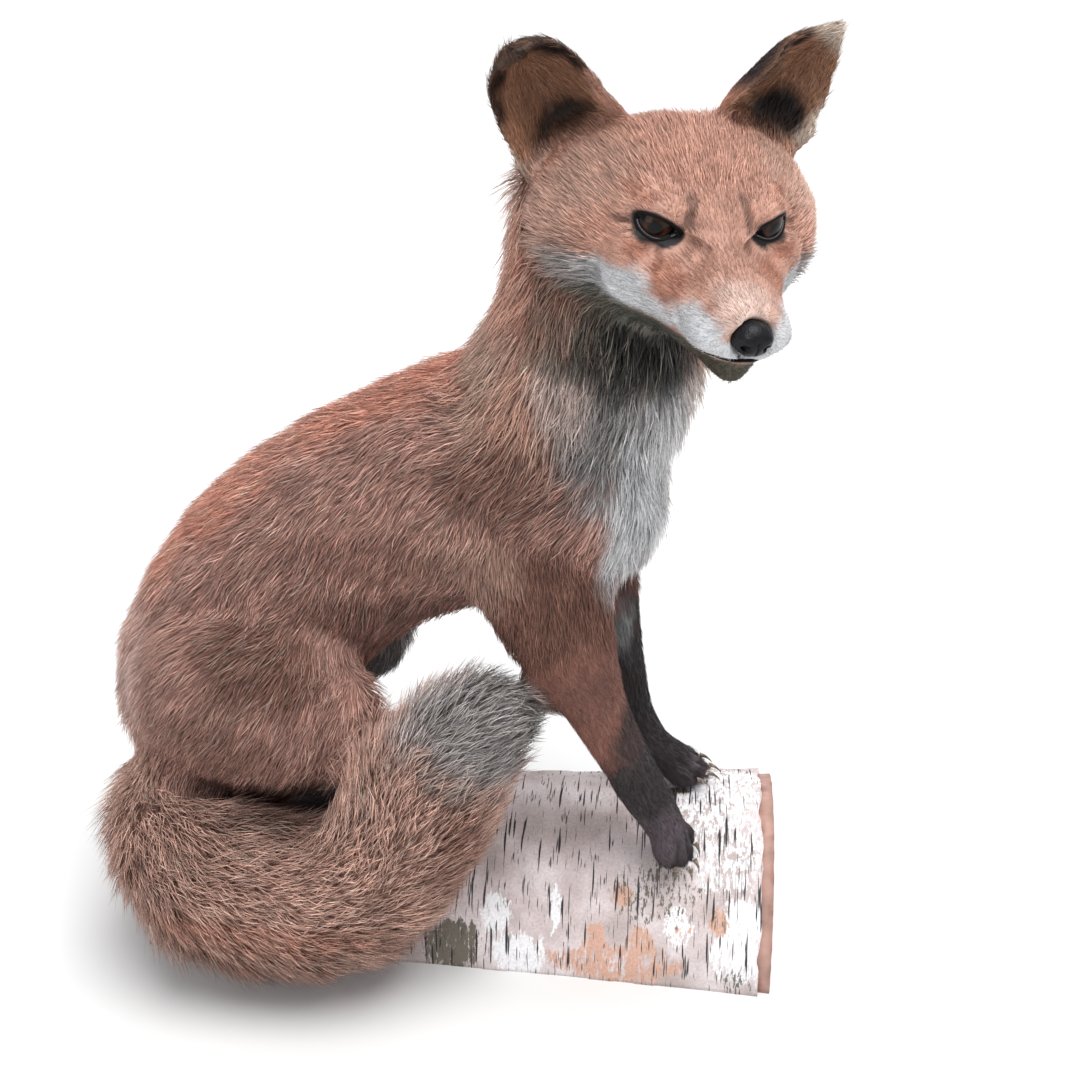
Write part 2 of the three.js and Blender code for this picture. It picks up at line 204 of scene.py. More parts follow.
def along_bone(name, points):
    """The nearest place on a bone to each point, and the way the bone runs there."""
    line = np.array(BONES[name]) * MM
    heading = unit(np.gradient(line, axis=0))
    start = line[:-1]
    run = np.diff(line, axis=0)
    share = np.einsum("nsk,sk->ns", points[:, None] - start, run) / (run**2).sum(1)
    share = np.clip(share, 0, 1)
    near = start + share[..., None] * run
    best = np.linalg.norm(points[:, None] - near, axis=2).argmin(1)
    rows = np.arange(len(points))
    part = share[rows, best][:, None]
    return near[rows, best], unit(heading[best] * (1 - part) + heading[best + 1] * part)


def ear_axes(side):
    """An ear's root, its way to the tip, the way it faces and the way across it, in the head's frame."""
    ear = EARS[side]
    root = np.array(ear["root"]) * MM
    axis = np.array(ear["tip"]) * MM - root
    outward = 1 if side == "left" else -1
    facing = np.array((0.95, outward * 0.22, 0.1))
    facing = unit(facing - axis * (facing @ axis) / (axis @ axis))
    return root, axis, facing, unit(np.cross(axis, facing))


# ---- meshes --------------------------------------------------------------------------------------


def new_object(name, mesh):
    thing = bpy.data.objects.new(name, mesh)
    bpy.context.scene.collection.objects.link(thing)
    return thing


def finished_mesh(bm, name):
    """The bmesh as a mesh with smooth faces."""
    mesh = bpy.data.meshes.new(name)
    bm.to_mesh(mesh)
    bm.free()
    mesh.polygons.foreach_set("use_smooth", np.ones(len(mesh.polygons), bool))
    return mesh


def places(mesh):
    found = np.empty(len(mesh.vertices) * 3, np.float32)
    mesh.vertices.foreach_get("co", found)
    return found.reshape(-1, 3).astype(float)


def set_places(mesh, points):
    mesh.vertices.foreach_set("co", points.astype(np.float32).ravel())
    mesh.update()


def point_normals(mesh):
    found = np.empty(len(mesh.vertices) * 3, np.float32)
    mesh.vertex_normals.foreach_get("vector", found)
    return found.reshape(-1, 3).astype(float)


def triangles_of(mesh):
    mesh.calc_loop_triangles()
    found = np.empty(len(mesh.loop_triangles) * 3, np.int32)
    mesh.loop_triangles.foreach_get("vertices", found)
    return found.reshape(-1, 3)


def set_colours(mesh, name, colours):
    """Stores linear colours on the points of a mesh."""
    layer = mesh.color_attributes.new(name, "FLOAT_COLOR", "POINT")
    rgba = np.ones((len(colours), 4), np.float32)
    rgba[:, :3] = colours
    layer.data.foreach_set("color", rgba.ravel())


def neighbours(mesh):
    """Each point's neighbours in one long list, and where each point's share of it starts."""
    edges = np.empty(len(mesh.edges) * 2, np.int32)
    mesh.edges.foreach_get("vertices", edges)
    pairs = edges.reshape(-1, 2)
    both = np.concatenate([pairs, pairs[:, ::-1]])
    both = both[np.argsort(both[:, 0], kind="stable")]
    starts = np.searchsorted(both[:, 0], np.arange(len(mesh.vertices)))
    counts = np.bincount(both[:, 0], minlength=len(mesh.vertices))
    return both[:, 1], starts, np.maximum(counts, 1)


def evened(values, links, rounds, share=0.5):
    """Values on a mesh's points, each brought nearer to its neighbours' mean."""
    others, starts, counts = links
    for _ in range(rounds):
        mean = np.add.reduceat(values[others], starts, axis=0) / counts[:, None]
        values = values + (mean - values) * share
    return values


# ---- skin ----------------------------------------------------------------------------------------


def merged_flesh():
    """All the flesh solids, merged and swelled, in one bmesh, and which solid each face came from."""
    whole = bmesh.new()
    owners = []
    for index, name in enumerate(FILLED):
        part = bmesh.new()
        part.from_mesh(nodes[name].data)
        bmesh.ops.remove_doubles(part, verts=part.verts, dist=1e-5)
        part.normal_update()
        for vertex in part.verts:
            vertex.co += vertex.normal * SEAM
        swelled = bpy.data.meshes.new("swelled")
        part.to_mesh(swelled)
        part.free()
        whole.from_mesh(swelled)
        owners += [index] * len(swelled.polygons)
        bpy.data.meshes.remove(swelled)
    return whole, np.array(owners)


def remeshed(mesh, size):
    """One closed even mesh round everything in mesh."""
    rough = new_object("rough", mesh)
    change = rough.modifiers.new("remesh", "REMESH")
    change.mode = "VOXEL"
    change.voxel_size = size
    result = bpy.data.meshes.new_from_object(rough.evaluated_get(bpy.context.evaluated_depsgraph_get()))
    bpy.data.objects.remove(rough)
    return result


def finer(mesh, inside):
    """The mesh with the faces that inside picks cut into four."""
    bm = bmesh.new()
    bm.from_mesh(mesh)
    picked = inside(places(mesh))
    bm.verts.ensure_lookup_table()
    edges = [e for e in bm.edges if picked[e.verts[0].index] and picked[e.verts[1].index]]
    bmesh.ops.subdivide_edges(bm, edges=edges, cuts=1, use_grid_fill=True)
    bmesh.ops.triangulate(bm, faces=[f for f in bm.faces if len(f.verts) > 4])
    bm.to_mesh(mesh)
    bm.free()
    return mesh


def region_shares(points, normals, owners, tree, links):
    """How much of each region every point of the skin belongs to."""
    owner = np.array([owners[tree.find_nearest(p)[2]] for p in points.tolist()])
    head = to_head(points) / MM
    shares = np.zeros((len(points), len(REGIONS)))

    def mark(region, rows):
        shares[rows] = 0
        shares[rows, REGIONS.index(region)] = 1

    for index, name in enumerate(FILLED):
        rows = owner == index
        if name == "head" or name.startswith("eye"):
            mark("cheek", rows)
            mark("crown", rows & (head[:, 2] > -4 - 0.25 * np.abs(head[:, 1])))
            mark("muzzle", rows & (head[:, 0] > 2))
        elif name == "jaw":
            mark("chin", rows)
        elif name.startswith("ear"):
            side = name.removeprefix("ear_")
            _, _, facing, _ = ear_axes(side)
            inside = normals @ turn_from_head(facing) > 0.1
            mark(f"ear_back_{side}", rows & ~inside)
            mark(f"ear_inside_{side}", rows & inside)
        else:
            mark(kind_of_node(name), rows)
    return owner, evened(shares, links, 14)


def kind_of_node(name):
    return "tail" if name.startswith("tail") else name


def inward(region, points, normals):
    """The way from the coat's tips down to the skin."""
    if region in BONES and kind(region) not in ("forepaw", "hind_foot"):
        near, _ = along_bone(region, points)
        return unit(near - points)
    return -normals


def drawn_in(points, normals, shares):
    """The skin's points, under the coat's depth."""
    moved = np.zeros_like(points)
    for index, region in enumerate(REGIONS):
        rows = shares[:, index] > 0.01
        step = inward(region, points[rows], normals[rows]) * COAT[kind(region)]["depth"]
        moved[rows] += step * shares[rows, index : index + 1]
    return points + moved


def eye_axes(side):
    """An eye's centre and its ahead, outward and up ways, in the head's frame. side is 1 on the left."""
    centre = np.array((EYE_AT.x, EYE_MIDDLE + side * EYE_AT.y, EYE_AT.z))
    splay = math.radians(side * EYE_SPLAY)
    ahead = np.array((math.cos(splay), math.sin(splay), 0))
    outward = np.array((-math.sin(splay), math.cos(splay), 0)) * side
    return centre, np.array((ahead, outward, (0.0, 0.0, 1.0)))


EYE_HALF_WIDTH = 57  # degrees round the eyeball
UPPER_LID = 28
LOWER_LID = 29
LID_SLANT = 0.14  # how much the outer corner is higher than the inner one
LID_POWER = 1.7  # under 2, the corners of the eye are pointed
LID_MIDDLE = (2, 2)  # where the middle of the opening is, outward and up


def lid_measure(across, high):
    """How far a direction from the eye's centre is past the rim of its lids, 1 on the rim, and by
    how many degrees."""
    across = across - LID_MIDDLE[0]
    high = high - LID_MIDDLE[1] - across * LID_SLANT
    reach = np.where(high > 0, UPPER_LID, LOWER_LID)
    whole = (np.abs(across) / EYE_HALF_WIDTH) ** LID_POWER + (np.abs(high) / reach) ** LID_POWER
    past = np.maximum(whole ** (1 / LID_POWER), 1e-3)
    return past, np.hypot(across, high) * (1 - 1 / past)


def toward_eye(head, side):
    """Directions from an eye's centre, in degrees outward and up, and the distance from it."""
    centre, axes = eye_axes(side)
    local = (head - centre) @ axes.T
    distance = np.maximum(np.linalg.norm(local, axis=-1), 1e-6)
    across = np.degrees(np.arctan2(local[..., 1], local[..., 0]))
    high = np.degrees(np.arcsin(np.clip(local[..., 2] / distance, -1, 1)))
    return across, high, distance, local[..., 0]


def lid_radius(across):
    """How far the lids are from the eye's centre: on the eyeball, but for the inner corner."""
    return EYE_RADIUS + 0.8 * MM + 2.6 * MM * ease(38, 62, -across)


def lid_past(head, side):
    """How far places on the face, in millimetres, are past the rim of an eye's lids."""
    across, high, distance, ahead = toward_eye(head * MM, side)
    past, _ = lid_measure(across, high)
    away = ease(15.5 * MM, 19 * MM, distance) * 0.5
    return np.where((distance < 24 * MM) & (ahead > 0), past + away, 9)


def set_eyelids(head, side):
    """Moves the skin round an eye onto the eyeball as lids, and away from it inside their rim."""
    centre, axes = eye_axes(side)
    across, high, distance, ahead = toward_eye(head, side)
    rows = (distance < 46 * MM) & (ahead > -4 * MM)
    across, high, distance = across[rows], high[rows], distance[rows]
    past, beyond = lid_measure(across, high)
    above = high - LID_MIDDLE[1] - (across - LID_MIDDLE[0]) * LID_SLANT
    wall = ease(12.4 * MM, 15 * MM, distance)
    clear = 1 + 0.12 * ease(15 * MM, 26 * MM, distance)
    pushed = 1 + (np.clip(clear / past, 1, 3) - 1) * wall * (1 - ease(28 * MM, 46 * MM, distance))
    pull = np.where((past > 0.72) & (past < 1.0), 1 / past, 1)
    pull = np.maximum(pull * (1 - wall) + pushed * wall, 1)
    fold = np.exp(-(((beyond - 14) / 4) ** 2)) * ease(2, 10, above) * 1.2 * MM
    lid = lid_radius(across) + 1.2 * MM * ease(0, 10, beyond) - fold
    hidden = np.where(past < 0.72, 1 - wall, 0)
    radius = lid * (1 - hidden) + (EYE_RADIUS - 3 * MM) * hidden
    far = ease(15 * MM, 25 * MM, distance)
    free = np.where(past < 1, far, 1 - (1 - ease(4, 32, beyond)) * (1 - far))
    radius = radius * (1 - free) + np.maximum(distance - fold, lid) * free
    across = np.radians(LID_MIDDLE[0] + (across - LID_MIDDLE[0]) * pull)
    high = np.radians(high + above * (pull - 1))
    flat = radius * np.cos(high)
    moved = np.stack([flat * np.cos(across), flat * np.sin(across), radius * np.sin(high)], axis=1)
    head[rows] = moved @ axes + centre
    return head


def dent(points, centre, radii, shift):
    """Moves the points round centre by shift, most in the middle and none past radii."""
    gap = np.linalg.norm((points - np.array(centre) * MM) / (np.array(radii) * MM), axis=1)
    return points + np.array(shift) * MM * ((1 - ease(0, 1, gap))[:, None])


MOUTH_LINE = [
    (67, 0, -37), (66, 6, -37), (63, 12, -37.5), (58, 17.5, -37), (54, 20, -36.5),
]
PHILTRUM = [(70, 1, -28), (68, 1, -37)]
MOUTH_MIDDLE = (30, 0, -30)
FACE_FORMS = [
    # place, size and shift of each form on the left half of the face; the right half mirrors it
    ((4, 16, 13), (15, 11, 8), (2.6, 0, 1.4)),  # brow over the inner corner
    ((-6, 34, 13), (15, 14, 9), (1.2, 1.8, 1.2)),  # brow over the outer corner
    ((20, 8, 4), (15, 9, 8), (-0.4, 0, -2.2)),  # stop, in front of the brow
    ((18, 20, -8), (12, 8, 7), (-0.4, -1.8, -0.4)),  # hollow at the inner corner
    ((17, 31, -9), (15, 15, 10), (-5.0, -3.5, -2.0)),  # under the eye
    ((32, 23, -12), (18, 9, 8), (0, -1.2, 0.2)),  # side of the bridge
    ((52, 18, -27), (17, 12, 11), (1.0, 3.0, 0)),  # whisker pad
    ((40, 27, -25), (7, 6, 5), (-1.2, -2.0, 0)),  # corner of the mouth
    ((2, 42, -14), (22, 14, 13), (0, 2.0, 0)),  # cheek bone
    ((-26, 20, 30), (20, 16, 12), (0, 0, 1.0)),  # dome
    ((-24, 0, 30), (26, 5, 10), (0, 0, -1.2)),  # furrow between the brows
    ((58, 8, -48), (22, 18, 10), (0.4, -1.0, -3.0)),  # chin
]


mouth_path = []  # places along the mouth, on the skin


def find_mouth(head):
    """Lays the line of the mouth on the skin. All in millimetres, in the head's frame."""
    tree = KDTree(len(head))
    for index, place in enumerate(head.tolist()):
        tree.insert(place, index)
    tree.balance()
    lines = [[(x, y * side, z) for x, y, z in MOUTH_LINE] for side in (-1, 1)]
    for line in (*lines, PHILTRUM):
        for start, end in itertools.pairwise(np.array(line, float)):
            for share in np.linspace(0, 1, 12):
                near = [np.array(found[0]) for found in tree.find_n(start + (end - start) * share, 5)]
                mouth_path.append(sum(near) / 5)


def mouth_gap(head):
    """How far places in the head's frame are from the line of the mouth, all in millimetres."""
    gap = np.full(len(head), 99.0)
    rows = (head[:, 0] > 30) & (head[:, 2] < -15)
    near = head[rows]
    best = np.full(len(near), 99.0)
    for place in mouth_path:
        best = np.minimum(best, np.linalg.norm(near - place, axis=1))
    gap[rows] = best
    return gap


def shape_face(head):
    """The forms of the face, in the head's frame."""
    for side in (-1, 1):
        for centre, radii, shift in FACE_FORMS:
            mirrored = (centre[0], centre[1] * side, centre[2])
            head = dent(head, mirrored, radii, (shift[0], shift[1] * side, shift[2]))
    head[:, 1] += 2.4 * MM * ease(15 * MM, 60 * MM, head[:, 0])
    find_mouth(head / MM)
    away = unit(head - np.array(MOUTH_MIDDLE) * MM)
    head = head - away * 1.8 * MM * (1 - ease(0.4, 2.6, mouth_gap(head / MM)))[:, None]
    for side in (-1, 1):
        head = set_eyelids(head, side)
    return head


def roll_along(points, thickness, closed=False, shrink=(1, 1)):
    """A round roll along points, as a mesh, whose thickness shrinks from end to end."""
    curve = bpy.data.curves.new("roll", "CURVE")
    curve.dimensions = "3D"
    curve.bevel_depth = thickness
    curve.bevel_resolution = 2
    curve.use_fill_caps = True
    spline = curve.splines.new("POLY")
    spline.points.add(len(points) - 1)
    spline.points.foreach_set("co", np.column_stack([points, np.ones(len(points))]).ravel())
    spline.points.foreach_set("radius", np.linspace(*shrink, len(points)))
    spline.use_cyclic_u = closed
    made = new_object("roll", curve)
    mesh = bpy.data.meshes.new_from_object(made.evaluated_get(bpy.context.evaluated_depsgraph_get()))
    bpy.data.objects.remove(made)
    bpy.data.curves.remove(curve)
    return mesh


def lip_line():
    """The line of the mouth from one corner to the other, just inside the groove."""
    count = (len(MOUTH_LINE) - 1) * 12
    line = np.array(mouth_path[:count][::-1] + mouth_path[count : 2 * count])
    for _ in range(8):
        line[1:-1] = (line[:-2] + line[1:-1] + line[2:]) / 3
    return from_head((line - unit(line - np.array(MOUTH_MIDDLE)) * 0.9) * MM)


def lid_line(side, turns, past, lift):
    """Points round the rim of an eye's lids, in the model's frame."""
    centre, axes = eye_axes(side)
    wide = np.cos(turns)
    tall = np.sin(turns)
    across = past * EYE_HALF_WIDTH * np.sign(wide) * np.abs(wide) ** (2 / LID_POWER)
    reach = np.where(tall > 0, UPPER_LID, LOWER_LID)
    high = past * reach * np.sign(tall) * np.abs(tall) ** (2 / LID_POWER) + across * LID_SLANT
    radius = lid_radius(across + LID_MIDDLE[0])[:, None] + lift
    across = np.radians(across + LID_MIDDLE[0])
    high = np.radians(high + LID_MIDDLE[1])
    rim = [np.cos(high) * np.cos(across), np.cos(high) * np.sin(across), np.sin(high)]
    return from_head((np.stack(rim, axis=1) * radius) @ axes + centre)


def eyelid_rims():
    """The dark rolls along the lids and the lips, and inside each lower lid a thin line painted pale grey as a
    painted highlight.
    """
    bm = bmesh.new()
    painted_highlight = []
    for side in (-1, 1):
        whole = np.linspace(0, 2 * np.pi, 65)[:-1]
        lower = np.linspace(np.pi * 1.06, np.pi * 1.94, 33)
        for turns, past, lift, thickness in (
            (whole, 1.03, -0.3 * MM, 0.95 * MM),
            # the thin roll inside the lower lid, which carries the painted highlight
            (lower, 0.92, -0.8 * MM, 0.45 * MM),
        ):
            roll = roll_along(lid_line(side, turns, past, lift), thickness, len(turns) == 64)
            bm.from_mesh(roll)
            painted_highlight += [len(turns) == 33] * len(roll.vertices)
    lips = roll_along(lip_line(), 0.8 * MM)
    bm.from_mesh(lips)
    painted_highlight += [False] * len(lips.vertices)
    mesh = finished_mesh(bm, "eyelid_rims")
    # the line inside each lower lid is painted pale grey as a painted highlight; the rest is black skin
    shades = np.where(np.array(painted_highlight)[:, None], tone(96, 96, 100), tone(14, 10, 11))
    set_colours(mesh, "coat", shades)
    return mesh


def cup_ear(head, on_ear, side):
    """Sinks the middle of an ear back and folds its edges forward."""
    root, axis, facing, across = ear_axes(side)
    local = head - root
    high = local @ axis / (axis @ axis)
    wide = (local @ across) / (EARS[side]["width"] * MM)
    hollow = (1 - np.clip(np.abs(wide), 0, 1) ** 2) * ease(-0.1, 0.3, high) * (1 - ease(0.6, 1.05, high))
    rolled = ease(0.55, 1.0, np.abs(wide)) * ease(0.1, 0.4, high) * (1 - ease(0.8, 1.0, high))
    shift = (-8.5 * hollow + 3.5 * rolled) * MM * ease(0.4, 0.9, on_ear)
    inward_way = -across * (np.sign(wide) * rolled * 2.2 * MM * on_ear)[:, None]
    return head + facing * shift[:, None] + inward_way


# Where the toes begin on each foot, and the way they point.
TOES = {
    "forepaw_right": ((129, -56, 83), (0.62, -0.3, -0.72)),
    "forepaw_left": ((134, 14, 91), (0.98, -0.05, -0.12)),
    "hind_foot_right": ((-18, -34, 80), (1, 0, -0.05)),
    "hind_foot_left": ((-18, 34, 80), (1, 0, -0.05)),
}


def toe_axes(heading):
    """The way the toes point, the way across them, and up."""
    ahead = unit(np.array(heading, float))
    across = unit(np.cross((0, 0, 1), ahead))
    return ahead, across, np.cross(ahead, across)


def between_toes(points):
    """How deep in the furrows between the toes each place is, 0 to 1, and the way into them."""
    depth = np.zeros(len(points))
    inward = np.zeros(points.shape)
    for place, heading in TOES.values():
        ahead, across, up = toe_axes(heading)
        local = points / MM - np.array(place)
        along = local @ ahead
        beside = local @ across
        near = ease(-9, 4, along) * (1 - ease(24, 30, along)) * (1 - ease(15, 22, np.abs(beside)))
        near *= (1 - ease(20, 26, np.abs(local @ up)))
        furrows = sum(np.exp(-(((beside - number * 9) / 1.9) ** 2)) for number in (-1, 0, 1)) * near
        middle = np.array(place) - ahead * 12 - up * 4
        depth = np.maximum(depth, furrows)
        inward += unit(middle - points / MM) * furrows[:, None]
    return depth, inward


def near_head(reach):
    def inside(points):
        head = to_head(points) / MM
        return (head[:, 0] > -62) & (head[:, 2] > -60) & (np.linalg.norm(head, axis=1) < reach)

    return inside


def near_features(points):
    """Round the eyes, along the mouth and on the toes in view."""
    head = to_head(points)
    found = np.zeros(len(points), bool)
    for side in (-1, 1):
        centre, _ = eye_axes(side)
        found |= np.linalg.norm(head - centre, axis=1) < 22 * MM
        for place in MOUTH_LINE:
            mirrored = np.array((place[0], place[1] * side, place[2])) * MM
            found |= np.linalg.norm(head - mirrored, axis=1) < 9 * MM
    for foot in ("forepaw_right", "forepaw_left"):
        place, heading = TOES[foot]
        toes = np.array(place) + toe_axes(heading)[0] * 8
        found |= np.linalg.norm(points / MM - toes, axis=1) < 21
    return found


def build_skin():
    """One closed skin under the coat, with how much of each region its points belong to."""
    flesh, owners = merged_flesh()
    tree = BVHTree.FromBMesh(flesh)
    mesh = remeshed(finished_mesh(flesh, "flesh"), VOXEL)
    mesh = finer(mesh, near_head(150))
    mesh = finer(mesh, near_features)
    links = neighbours(mesh)
    points = places(mesh)
    owner, shares = region_shares(points, point_normals(mesh), owners, tree, links)
    thin = shares[:, [i for i, r in enumerate(REGIONS) if r.startswith("ear") or "paw" in r]].sum(1)
    smoothed = evened(points, links, 10)
    set_places(mesh, points + (smoothed - points) * (1 - 0.75 * thin)[:, None])
    points = drawn_in(places(mesh), point_normals(mesh), shares)
    points = evened(points, links, 4)
    face = shares[:, [REGIONS.index(r) for r in HEAD_REGIONS]].sum(1) > 0.3
    on_tail = shares[:, REGIONS.index("tail")] > 0.5
    points[on_tail] = dent(points[on_tail], (-110, -84, 104), (62, 34, 34), (0, 6, 11))
    head = to_head(points)
    for side in ("right", "left"):
        on_ear = shares[:, [i for i, r in enumerate(REGIONS) if r.startswith("ear") and r.endswith(side)]]
        head = cup_ear(head, on_ear.sum(1), side)
    head[face] = shape_face(head[face])
    points = from_head(head)
    _, inward = between_toes(points)
    set_places(mesh, points + inward * 2.0 * MM)
    return mesh, shares


# ---- the lie of the coat -------------------------------------------------------------------------

DOWN = np.array((0.0, 0.0, -1.0))


def lie(region, points, normals):
    """The way the hair points in one region, before it is laid flat on the skin."""
    name = kind(region)
    if name in HEAD_REGIONS:
        head = to_head(points) / MM
        away = unit(head - np.array((74, 0, -16)))
        side = np.sign(head[:, 1:2])
        if name == "cheek":
            away = away + np.array((-0.5, 0, -0.35)) + side * np.array((0, 0.3, 0))
        if name == "crown":
            away = away + np.array((-0.6, 0, 0.1)) + side * np.array((0, 0.12, 0))
        if name == "chin":
            away = np.array((-1, 0, -0.25)) + side * np.array((0, 0.15, 0))
        for eye in (-1, 1):
            centre, _ = eye_axes(eye)
            gap = head - centre / MM
            near = 1 - ease(12, 21, np.linalg.norm(gap, axis=1, keepdims=True))
            away = away + unit(gap) * near * 1.4
        return turn_from_head(unit(away))
    if name.startswith("ear"):
        side = region.rsplit("_", 1)[1]
        root, axis, facing, across = ear_axes(side)
        if name == "ear_back":
            return turn_from_head(np.broadcast_to(unit(axis), points.shape))
        local = to_head(points) - root
        place = (local @ across)[:, None] / (EARS[side]["width"] * MM)
        inwards = -across * np.clip(place * 1.6, -1, 1)
        return turn_from_head(unit(inwards * 0.9 + unit(axis) * 0.8 + facing * 0.5))
    _, heading = along_bone(region, points)
    if name == "neck":
        return unit(heading + DOWN * 0.35)
    if name == "trunk":
        return unit(heading * 0.8 + DOWN * 0.55)
    if name == "thigh":
        return unit(np.array((-0.55, 0, -0.85)) + heading * 0.0)
    if name == "upper_arm":
        return unit(heading + np.array((-0.25, 0, 0)))
    return heading


def laid(points, normals, shares):
    """The way the hair points at each place, flat on the skin."""
    ways = np.zeros_like(points)
    for index, region in enumerate(REGIONS):
        rows = shares[:, index] > 0.02
        ways[rows] += lie(region, points[rows], normals[rows]) * shares[rows, index : index + 1]
    swirl = np.stack([noise(points, 0.035, seed) for seed in (1, 2, 3)], axis=1)
    furry = shares[:, [REGIONS.index(r) for r in ("neck", "trunk", "tail")]].sum(1, keepdims=True)
    ruffle = np.stack([noise(points, 0.011, seed) for seed in (11, 12, 13)], axis=1)
    ways = ways + swirl * (0.12 + 0.30 * furry) + ruffle * (0.05 + 0.28 * furry)
    ways -= normals * (ways * normals).sum(1, keepdims=True)
    return unit(ways)


# ---- markings and painted shade ------------------------------------------------------------------


def tone(red, green, blue):
    """A colour given on the usual 0 to 255 scale, as linear light."""
    value = np.array((red, green, blue)) / 255
    return np.where(value <= 0.04045, value / 12.92, ((value + 0.055) / 1.055) ** 2.4)


SORREL = tone(230, 160, 138)
RUSSET = tone(194, 132, 108)
ORANGE = tone(218, 168, 148)
PINK = tone(248, 216, 202)
TAN = tone(206, 169, 152)
GRIZZLE = tone(196, 152, 138)
DUN = tone(190, 152, 137)
BAY = tone(150, 102, 88)
BROWN = tone(136, 98, 84)
GREY = tone(158, 158, 158)
PALE = tone(232, 208, 200)
OLIVE = tone(100, 100, 90)
JOWL = tone(82, 76, 62)
PAW = tone(98, 86, 92)
SMOKE = tone(66, 63, 60)
CREAM = tone(232, 216, 200)
WHITE = tone(242, 242, 244)
SOOT = tone(56, 48, 49)
INK = tone(22, 16, 15)
UMBER = tone(84, 58, 50)
EAR_TAN = tone(176, 130, 102)
EAR_DARK = tone(36, 23, 22)

# the chin's base tone is a dark olive: its own colour darkened as painted shade under the jaw
BASE_TONES = {
    "muzzle": ORANGE, "crown": ORANGE, "cheek": TAN, "chin": OLIVE,
    "ear_back": EAR_DARK, "ear_inside": EAR_TAN, "neck": TAN, "trunk": GRIZZLE, "tail": DUN,
    "upper_arm": BROWN, "forearm": BAY, "forepaw": SOOT,
    "thigh": GRIZZLE, "shank": BROWN, "hind_foot": SOOT,
}

# Markings on the head, and painted shade under the jaw and on the chin, in its own frame: middle,
# half sizes, tone and strength. They are mirrored on the other side.
HEAD_MARKS_AND_SHADE = [
    ((54, 4, -12), (20, 11, 10), PINK, 0.75),
    ((-34, 48, 8), (24, 26, 26), TAN, 0.8),
    ((24, 27, -17), (14, 12, 10), RUSSET, 0.8),
    ((12, 38, -9), (16, 8, 4), RUSSET, 0.75),
    ((5, 13, 17), (9, 3, 11), UMBER, 0.6),
    ((12, 15, 8), (7, 3, 6), UMBER, 0.65),
    ((-8, 36, 12), (16, 8, 3), RUSSET, 0.5),
    ((19, 16, -3), (5, 3, 4), SMOKE, 0.65),
    ((-2, 44, 0), (8, 6, 1.6), UMBER, 0.7),
    ((54, 22, -28), (22, 14, 15), WHITE, 1.0),
    ((6, 44, -30), (26, 22, 14), WHITE, 1.0),
    ((26, 31, -33), (14, 12, 9), WHITE, 0.9),
    ((-18, 60, -34), (24, 22, 13), GREY, 0.75),
    # under the jaw: a greyish olive colour, darkened further as painted shade
    ((-12, 56, -58), (40, 40, 18), OLIVE, 0.95),
    ((22, 27, -50), (38, 24, 14), OLIVE, 0.95),
    ((4, 22, -62), (36, 32, 18), OLIVE, 0.95),
    ((2, 46, -43), (34, 22, 7), OLIVE, 0.7),
    ((-40, 66, -10), (26, 24, 20), TAN, 0.8),
    ((66, 0, -30), (12, 16, 6), WHITE, 1.0),
    # the chin painted dark: painted shade under the muzzle over a darker olive colour
    ((54, 0, -51), (26, 24, 14), JOWL, 1.0),
    ((41, 27, -26), (5, 4, 2.5), UMBER, 0.5),
]
# Markings on the body, and painted shade under the jaw and in the crease between thigh and tail.
BODY_MARKS_AND_SHADE = [
    ((88, -58, 352), (42, 42, 54), GREY, 0.9),
    ((118, -60, 330), (30, 44, 56), WHITE, 0.65),
    ((34, -78, 350), (26, 26, 40), ORANGE, 0.8),
    ((62, -84, 364), (20, 26, 36), PALE, 0.7),
    # below the near cheek and on the throat: a greyish colour darkened as painted shade under the jaw
    ((72, -84, 396), (38, 34, 24), OLIVE, 0.9),
    ((104, -72, 384), (44, 44, 22), SMOKE, 0.95),
    ((104, -44, 290), (30, 44, 52), WHITE, 1.0),
    ((98, -14, 246), (20, 26, 34), WHITE, 0.9),
    ((-40, -10, 340), (110, 34, 40), SORREL, 0.9),
    ((-120, -6, 262), (60, 32, 60), SORREL, 0.9),
    ((-182, 0, 190), (30, 34, 80), SORREL, 0.75),
    ((60, -20, 410), (40, 60, 60), SORREL, 0.6),
    ((30, -66, 312), (36, 24, 26), BROWN, 0.75),
    ((10, -74, 262), (34, 24, 26), TAN, 0.6),
    ((-20, -50, 226), (70, 60, 14), BROWN, 0.6),
    ((-136, -96, 152), (46, 26, 30), BROWN, 0.5),
    ((-62, 44, 160), (56, 40, 56), GREY, 0.9),
    ((-101, -84, 212), (46, 30, 34), BROWN, 0.8),
    ((-194, -34, 180), (22, 48, 64), PALE, 0.45),
    ((-40, -60, 262), (60, 30, 16), BAY, 0.35),
    # a dark band in the crease between the thigh and the tail: painted shade
    ((-66, -74, 118), (90, 40, 16), UMBER, 0.8),
    ((107, -66, 158), (18, 16, 32), SOOT, 0.85),
    ((114, -60, 118), (36, 30, 38), SOOT, 1.0),
    ((98, 14, 146), (40, 34, 70), SOOT, 1.0),
    ((94, 2, 190), (10, 16, 24), GREY, 0.7),
    ((156, 14, 88), (10, 14, 10), BAY, 0.8),
    ((122, -62, 96), (22, 26, 18), PAW, 0.8),
    ((140, 12, 96), (12, 18, 12), PAW, 0.5),
]
TAIL_MARKS = [
    ((-196, -30, 110), (40, 50, 26), TAN, 0.8),
    ((-150, -142, 30), (70, 40, 20), BROWN, 0.7),
    ((-60, -148, 26), (90, 40, 18), BROWN, 0.75),
    ((-100, -140, 66), (90, 40, 12), RUSSET, 0.4),
    ((26, -90, 180), (54, 50, 40), GREY, 0.85),
    ((62, -80, 190), (20, 40, 40), SMOKE, 0.5),
    ((14, -126, 104), (18, 34, 50), BROWN, 0.7),
]
